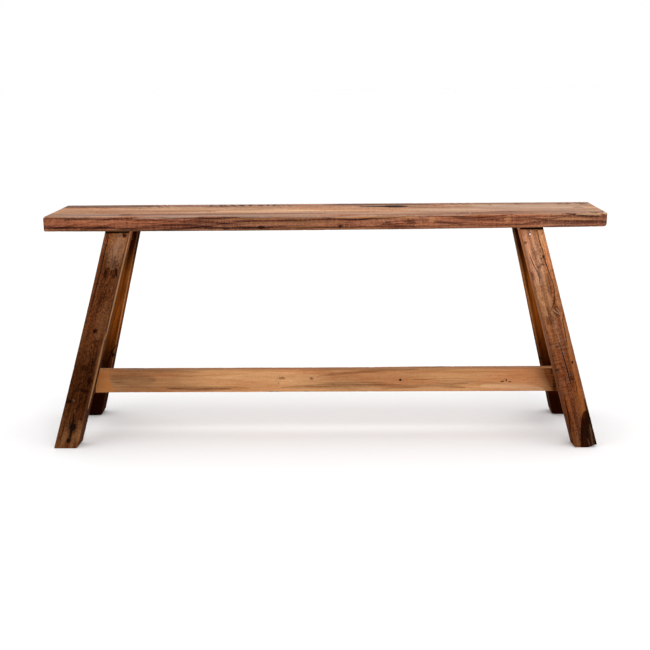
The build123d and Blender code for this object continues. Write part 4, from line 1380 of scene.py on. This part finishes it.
# Splay is in degrees, outwards to the right. Shift moves a leg along the bench. Foot rounds its inner corner.
# Hollow is how far the outer side is worn in. Shade is multiplied into the two sides.
Leg = namedtuple("Leg", "slot marks side_marks splay width shift foot hollow shade")
LEGS = {
    "front_left_leg": Leg("dark_leg_wood", LEFT_LEG_MARKS, LEFT_LEG_SIDE_MARKS, splay=-14.5, width=0.0460,
                          shift=0.0, foot=0.0060, hollow=0.0011, shade=(0.88, 0.80, 0.66)),
    "front_right_leg": Leg("light_leg_wood", RIGHT_LEG_MARKS, [], splay=14.25, width=0.0448, shift=0.0006,
                           foot=0.0030, hollow=0.0, shade=(0.96, 0.78, 0.56)),
    "rear_left_leg": Leg("rear_leg_wood", REAR_LEFT_LEG_MARKS, REAR_LEFT_LEG_SIDE_MARKS, splay=-14.5,
                         width=0.0460, shift=0.0004, foot=0.0100, hollow=0.0, shade=(1.0, 0.95, 0.85)),
    "rear_right_leg": Leg("rear_leg_wood", REAR_RIGHT_LEG_MARKS, REAR_RIGHT_LEG_SIDE_MARKS, splay=13.5,
                          width=0.0475, shift=-0.0016, foot=0.0100, hollow=0.0, shade=(1.0, 0.95, 0.85)),
}


class BENCH_OT_legs(bpy.types.Operator):
    """Build the four splayed legs"""
    bl_idname = "bench.legs"
    bl_label = "Legs"

    def execute(self, context):
        sizes, seed = context.scene.bench_sizes, context.scene.bench_seed.number
        for number, (node, leg) in enumerate(LEGS.items()):
            board = leg_board(node)
            block = board_blank(board, (int(board.size.x / sizes.grid * 1.2), 18, 16))
            shape_evenly(block, board, sizes.leg_arris, seed + 10 * (number + 1))
            inner = 1 if leg.splay < 0 else -1
            self.hollow_side(block, board, -inner, leg.hollow)
            self.round_foot(block, board, inner, leg.foot)
            open_cracks(block, board, LEG_FRONT, leg.marks)
            self.level_ends(block, board, sizes.foot_lift if node == "front_right_leg" else 0.0)
            faces = [(LEG_FRONT, leg.marks), (BoardFace(1, inner, 2), leg.side_marks)]
            material = board_material(f"{node.title()}_Wood", board, LOOKS[leg.slot], faces,
                                      side_shade=leg.shade)
            finish_piece(block, board, material)
        return {"FINISHED"}

    def hollow_side(self, block, board, outer, hollow):
        """Hollows the middle of the side that looks along the bench, and leaves its top proud."""
        half = board.size / 2
        lowest, proud = 0.42, 1.9
        for vertex in block.verts:
            height = 0.5 + vertex.co.x / (2 * half.x)
            out = hollow * (proud * ((height - lowest) / (1 - lowest)) ** 2 - 1)
            vertex.co.y += outer * out * fade(vertex.co.y * outer, 0.0, half.y)

    def round_foot(self, block, board, inner, radius):
        """Rounds the foot's corner on the side towards the bench's middle."""
        half = board.size / 2
        for vertex in block.verts:
            if vertex.co.x < 0 and vertex.co.y * inner > 0:
                round_edge(vertex.co, half, 0, 1, radius)

    def level_ends(self, block, board, lift):
        """Slants the board's ends so that they lie level on the floor and in the seat."""
        turn = board.frame.to_3x3()
        half = board.size / 2
        worn_height = 0.03
        for vertex in block.verts:
            place = vertex.co
            rise = lift * fade(place.x, worn_height - half.x, -half.x) * fade(place.y, 0.0, half.y)
            place.x += (rise - place.y * turn[2][1] - place.z * turn[2][2]) / turn[2][0]


class BENCH_OT_stretcher(bpy.types.Operator):
    """Build the long stretcher with its through tenons"""
    bl_idname = "bench.stretcher"
    bl_label = "Stretcher"

    def execute(self, context):
        sizes = context.scene.bench_sizes
        whole = level_board("long_stretcher")
        rail_low, rail_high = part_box("left_cross_rail")
        shoulder = rail_high.x - rail_low.x - sizes.small_arris
        board = Board(whole.node, whole.frame, whole.size - Vector((2 * shoulder, 0, 0)))
        block = board_blank(board, (int(board.size.x / sizes.grid), 10, 16))
        shape_evenly(block, board, sizes.small_arris, context.scene.bench_seed.number + 60)
        for vertex in block.verts:
            self.warp(vertex.co, board.size / 2)
        self.add_tenons(block, board, whole, sizes)
        material = board_material("Stretcher_Wood", board, LOOKS["stretcher_wood"],
                                  [(FRONT_EDGE, STRETCHER_MARKS)])
        finish_piece(block, board, material)
        return {"FINISHED"}

    def warp(self, place, half):
        """An uneven height: deeper than its drawn size below, and higher at the right than at the left."""
        share = place.x / half.x
        upper = (-0.5 + 1.4 * fade(share, 0.1, 0.5)) * MILLIMETRE
        lower = (-1.7 + 0.3 * share) * MILLIMETRE
        place.z += upper * fade(place.z, 0.0, half.z) + lower * fade(place.z, 0.0, -half.z)

    def add_tenons(self, block, board, whole, sizes):
        """A tenon at each end of the board, whose far end shows in its cross rail."""
        far_end = whole.size.x / 2 - sizes.waviness
        root = board.size.x / 2 - sizes.tenon_root
        for side in (-1, 1):
            tenon = bmesh.ops.create_cube(block, size=1.0)["verts"]
            bmesh.ops.scale(block, vec=(far_end - root, sizes.tenon_thickness, sizes.tenon_height),
                            verts=tenon)
            bmesh.ops.translate(block, vec=(side * (far_end + root) / 2, 0, 0), verts=tenon)
            edges = list({edge for vertex in tenon for edge in vertex.link_edges})
            bmesh.ops.bevel(block, geom=edges, offset=sizes.tenon_arris, segments=2, profile=0.5,
                            affect="EDGES", material=-1)


class BENCH_OT_cross_boards(bpy.types.Operator):
    """Build the cross rails and top cleats of both ends"""
    bl_idname = "bench.cross_boards"
    bl_label = "Rails and Cleats"

    def execute(self, context):
        sizes, seed = context.scene.bench_sizes, context.scene.bench_seed.number
        rail_cut = sizes.rail_tenon - sizes.hidden_end
        cleat_cut = -sizes.hidden_end / 2
        cuts = {"left_cross_rail": rail_cut, "right_cross_rail": rail_cut, "left_top_cleat": cleat_cut,
                "right_top_cleat": cleat_cut}
        for number, (node, cut) in enumerate(cuts.items()):
            board = cross_board(node, cut)
            block = board_blank(board, (int(board.size.x / sizes.grid), 8, 12))
            shape_evenly(block, board, sizes.small_arris, seed + 70 + number)
            material = board_material(f"{node.title()}_Wood", board, LOOKS["inner_wood"])
            finish_piece(block, board, material)
        return {"FINISHED"}


class BENCH_OT_fasteners(bpy.types.Operator):
    """Give the pegs, wedges, nails and screws their finish"""
    bl_idname = "bench.fasteners"
    bl_label = "Fasteners"

    def execute(self, context):
        colours = context.scene.bench_colours
        for node in ("rail_pegs", "stretcher_wedges"):
            self.dress(node, board_material(f"{node}_wood", level_board(node), LOOKS["peg_wood"]))
        nails = metal_material("Nail_Steel", colours.rust, colours.dark_leg_dark, spotted=0.40, metallic=0.9,
                               new_head=nail_head())
        self.dress("leg_nails", nails)
        screws = metal_material("Screw_Steel", colours.dull_metal, colours.crack, spotted=0.35, metallic=0.85)
        self.dress("cleat_screws", screws)
        return {"FINISHED"}

    def dress(self, node, material):
        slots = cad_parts[node].data.materials
        slots.clear()
        slots.append(material)


class BENCH_OT_stage(bpy.types.Operator):
    """Set the pale floor, the soft studio light and the photograph's camera"""
    bl_idname = "bench.stage"
    bl_label = "Stage"

    def execute(self, context):
        scene = context.scene
        scene.view_settings.view_transform = "Standard"
        self.floor(scene)
        self.lamp(scene)
        self.world(scene)
        self.camera(scene)
        return {"FINISHED"}

    def world(self, scene):
        """A white background, whose light is strongest from above."""
        studio = scene.bench_studio
        world = bpy.data.worlds.new("Studio")
        world.use_nodes = True
        graph = Graph(world.node_tree)
        background = world.node_tree.nodes["Background"]
        background.inputs["Color"].default_value = (1.0, 1.0, 1.0, 1.0)
        height = graph.split(graph.add("TexCoord").outputs["Generated"])[2]
        glow = graph.scaled(graph.math("MAXIMUM", height, 0.0), studio.upper_glow - studio.level_glow,
                            studio.level_glow)
        seen = graph.add("LightPath").outputs["Is Camera Ray"]
        graph.feed(background.inputs["Strength"], graph.fade(seen, 0.0, 1.0, glow, 1.0))
        scene.world = world

    def floor(self, scene):
        block = bmesh.new()
        bmesh.ops.create_grid(block, x_segments=1, y_segments=1, size=scene.bench_studio.floor_size)
        mesh = bpy.data.meshes.new("Floor")
        block.to_mesh(mesh)
        block.free()
        floor = bpy.data.objects.new("Floor", mesh)
        scene.collection.objects.link(floor)
        material = bpy.data.materials.new("Floor_Paper")
        material.use_nodes = True
        shader = material.node_tree.nodes["Principled BSDF"]
        shader.inputs["Base Color"].default_value = (*scene.bench_colours.floor, 1.0)
        shader.inputs["Roughness"].default_value = 0.9
        mesh.materials.append(material)

    def lamp(self, scene):
        """A large soft lamp that looks at the bench."""
        studio = scene.bench_studio
        data = bpy.data.lights.new("Front_Softbox", "AREA")
        data.shape = "SQUARE"
        data.size = studio.lamp_size
        data.energy = studio.lamp_power
        lamp = bpy.data.objects.new("Front_Softbox", data)
        lamp.location = studio.lamp_place
        middle = Vector((0, 0, cad_bounds[1].z / 2))
        lamp.rotation_euler = (middle - Vector(studio.lamp_place)).to_track_quat("-Z", "Y").to_euler()
        scene.collection.objects.link(lamp)

    def camera(self, scene):
        settings = scene.bench_camera
        data = bpy.data.cameras.new("Camera")
        data.sensor_width = SENSOR_WIDTH
        data.lens = settings.lens
        camera = bpy.data.objects.new("Camera", data)
        right, up, forward = camera_axes(settings)
        turn = Matrix((right, up, -forward)).transposed().to_4x4()
        camera.matrix_world = Matrix.Translation(settings.place) @ turn
        scene.collection.objects.link(camera)
        scene.camera = camera


class BENCH_PT_panel(bpy.types.Panel):
    """Bench building steps"""
    bl_idname = "BENCH_PT_panel"
    bl_label = "Rustic Wooden Bench"
    bl_space_type = "VIEW_3D"
    bl_region_type = "UI"
    bl_category = "Bench"

    def draw(self, context):
        for operator in OPERATORS:
            self.layout.operator(operator.bl_idname)
        for group in GROUPS:
            box = self.layout.box()
            settings = getattr(context.scene, group)
            for name in settings.__annotations__:
                box.prop(settings, name)


OPERATORS = (BENCH_OT_seat, BENCH_OT_legs, BENCH_OT_stretcher, BENCH_OT_cross_boards, BENCH_OT_fasteners,
             BENCH_OT_stage)
GROUPS = {"bench_sizes": BenchSizes, "bench_colours": BenchColours, "bench_camera": BenchCamera,
          "bench_studio": BenchStudio, "bench_seed": BenchSeed}


def register():
    for group in GROUPS.values():
        bpy.utils.register_class(group)
    for operator in (*OPERATORS, BENCH_PT_panel):
        bpy.utils.register_class(operator)
    for name, group in GROUPS.items():
        setattr(bpy.types.Scene, name, PointerProperty(type=group))


def unregister():
    for name in GROUPS:
        delattr(bpy.types.Scene, name)
    for operator in (BENCH_PT_panel, *reversed(OPERATORS)):
        bpy.utils.unregister_class(operator)
    for group in reversed(list(GROUPS.values())):
        bpy.utils.unregister_class(group)


def main():
    register()
    for operator in OPERATORS:
        part, name = operator.bl_idname.split(".")
        getattr(getattr(bpy.ops, part), name)()


if __name__ == "__main__":
    main()
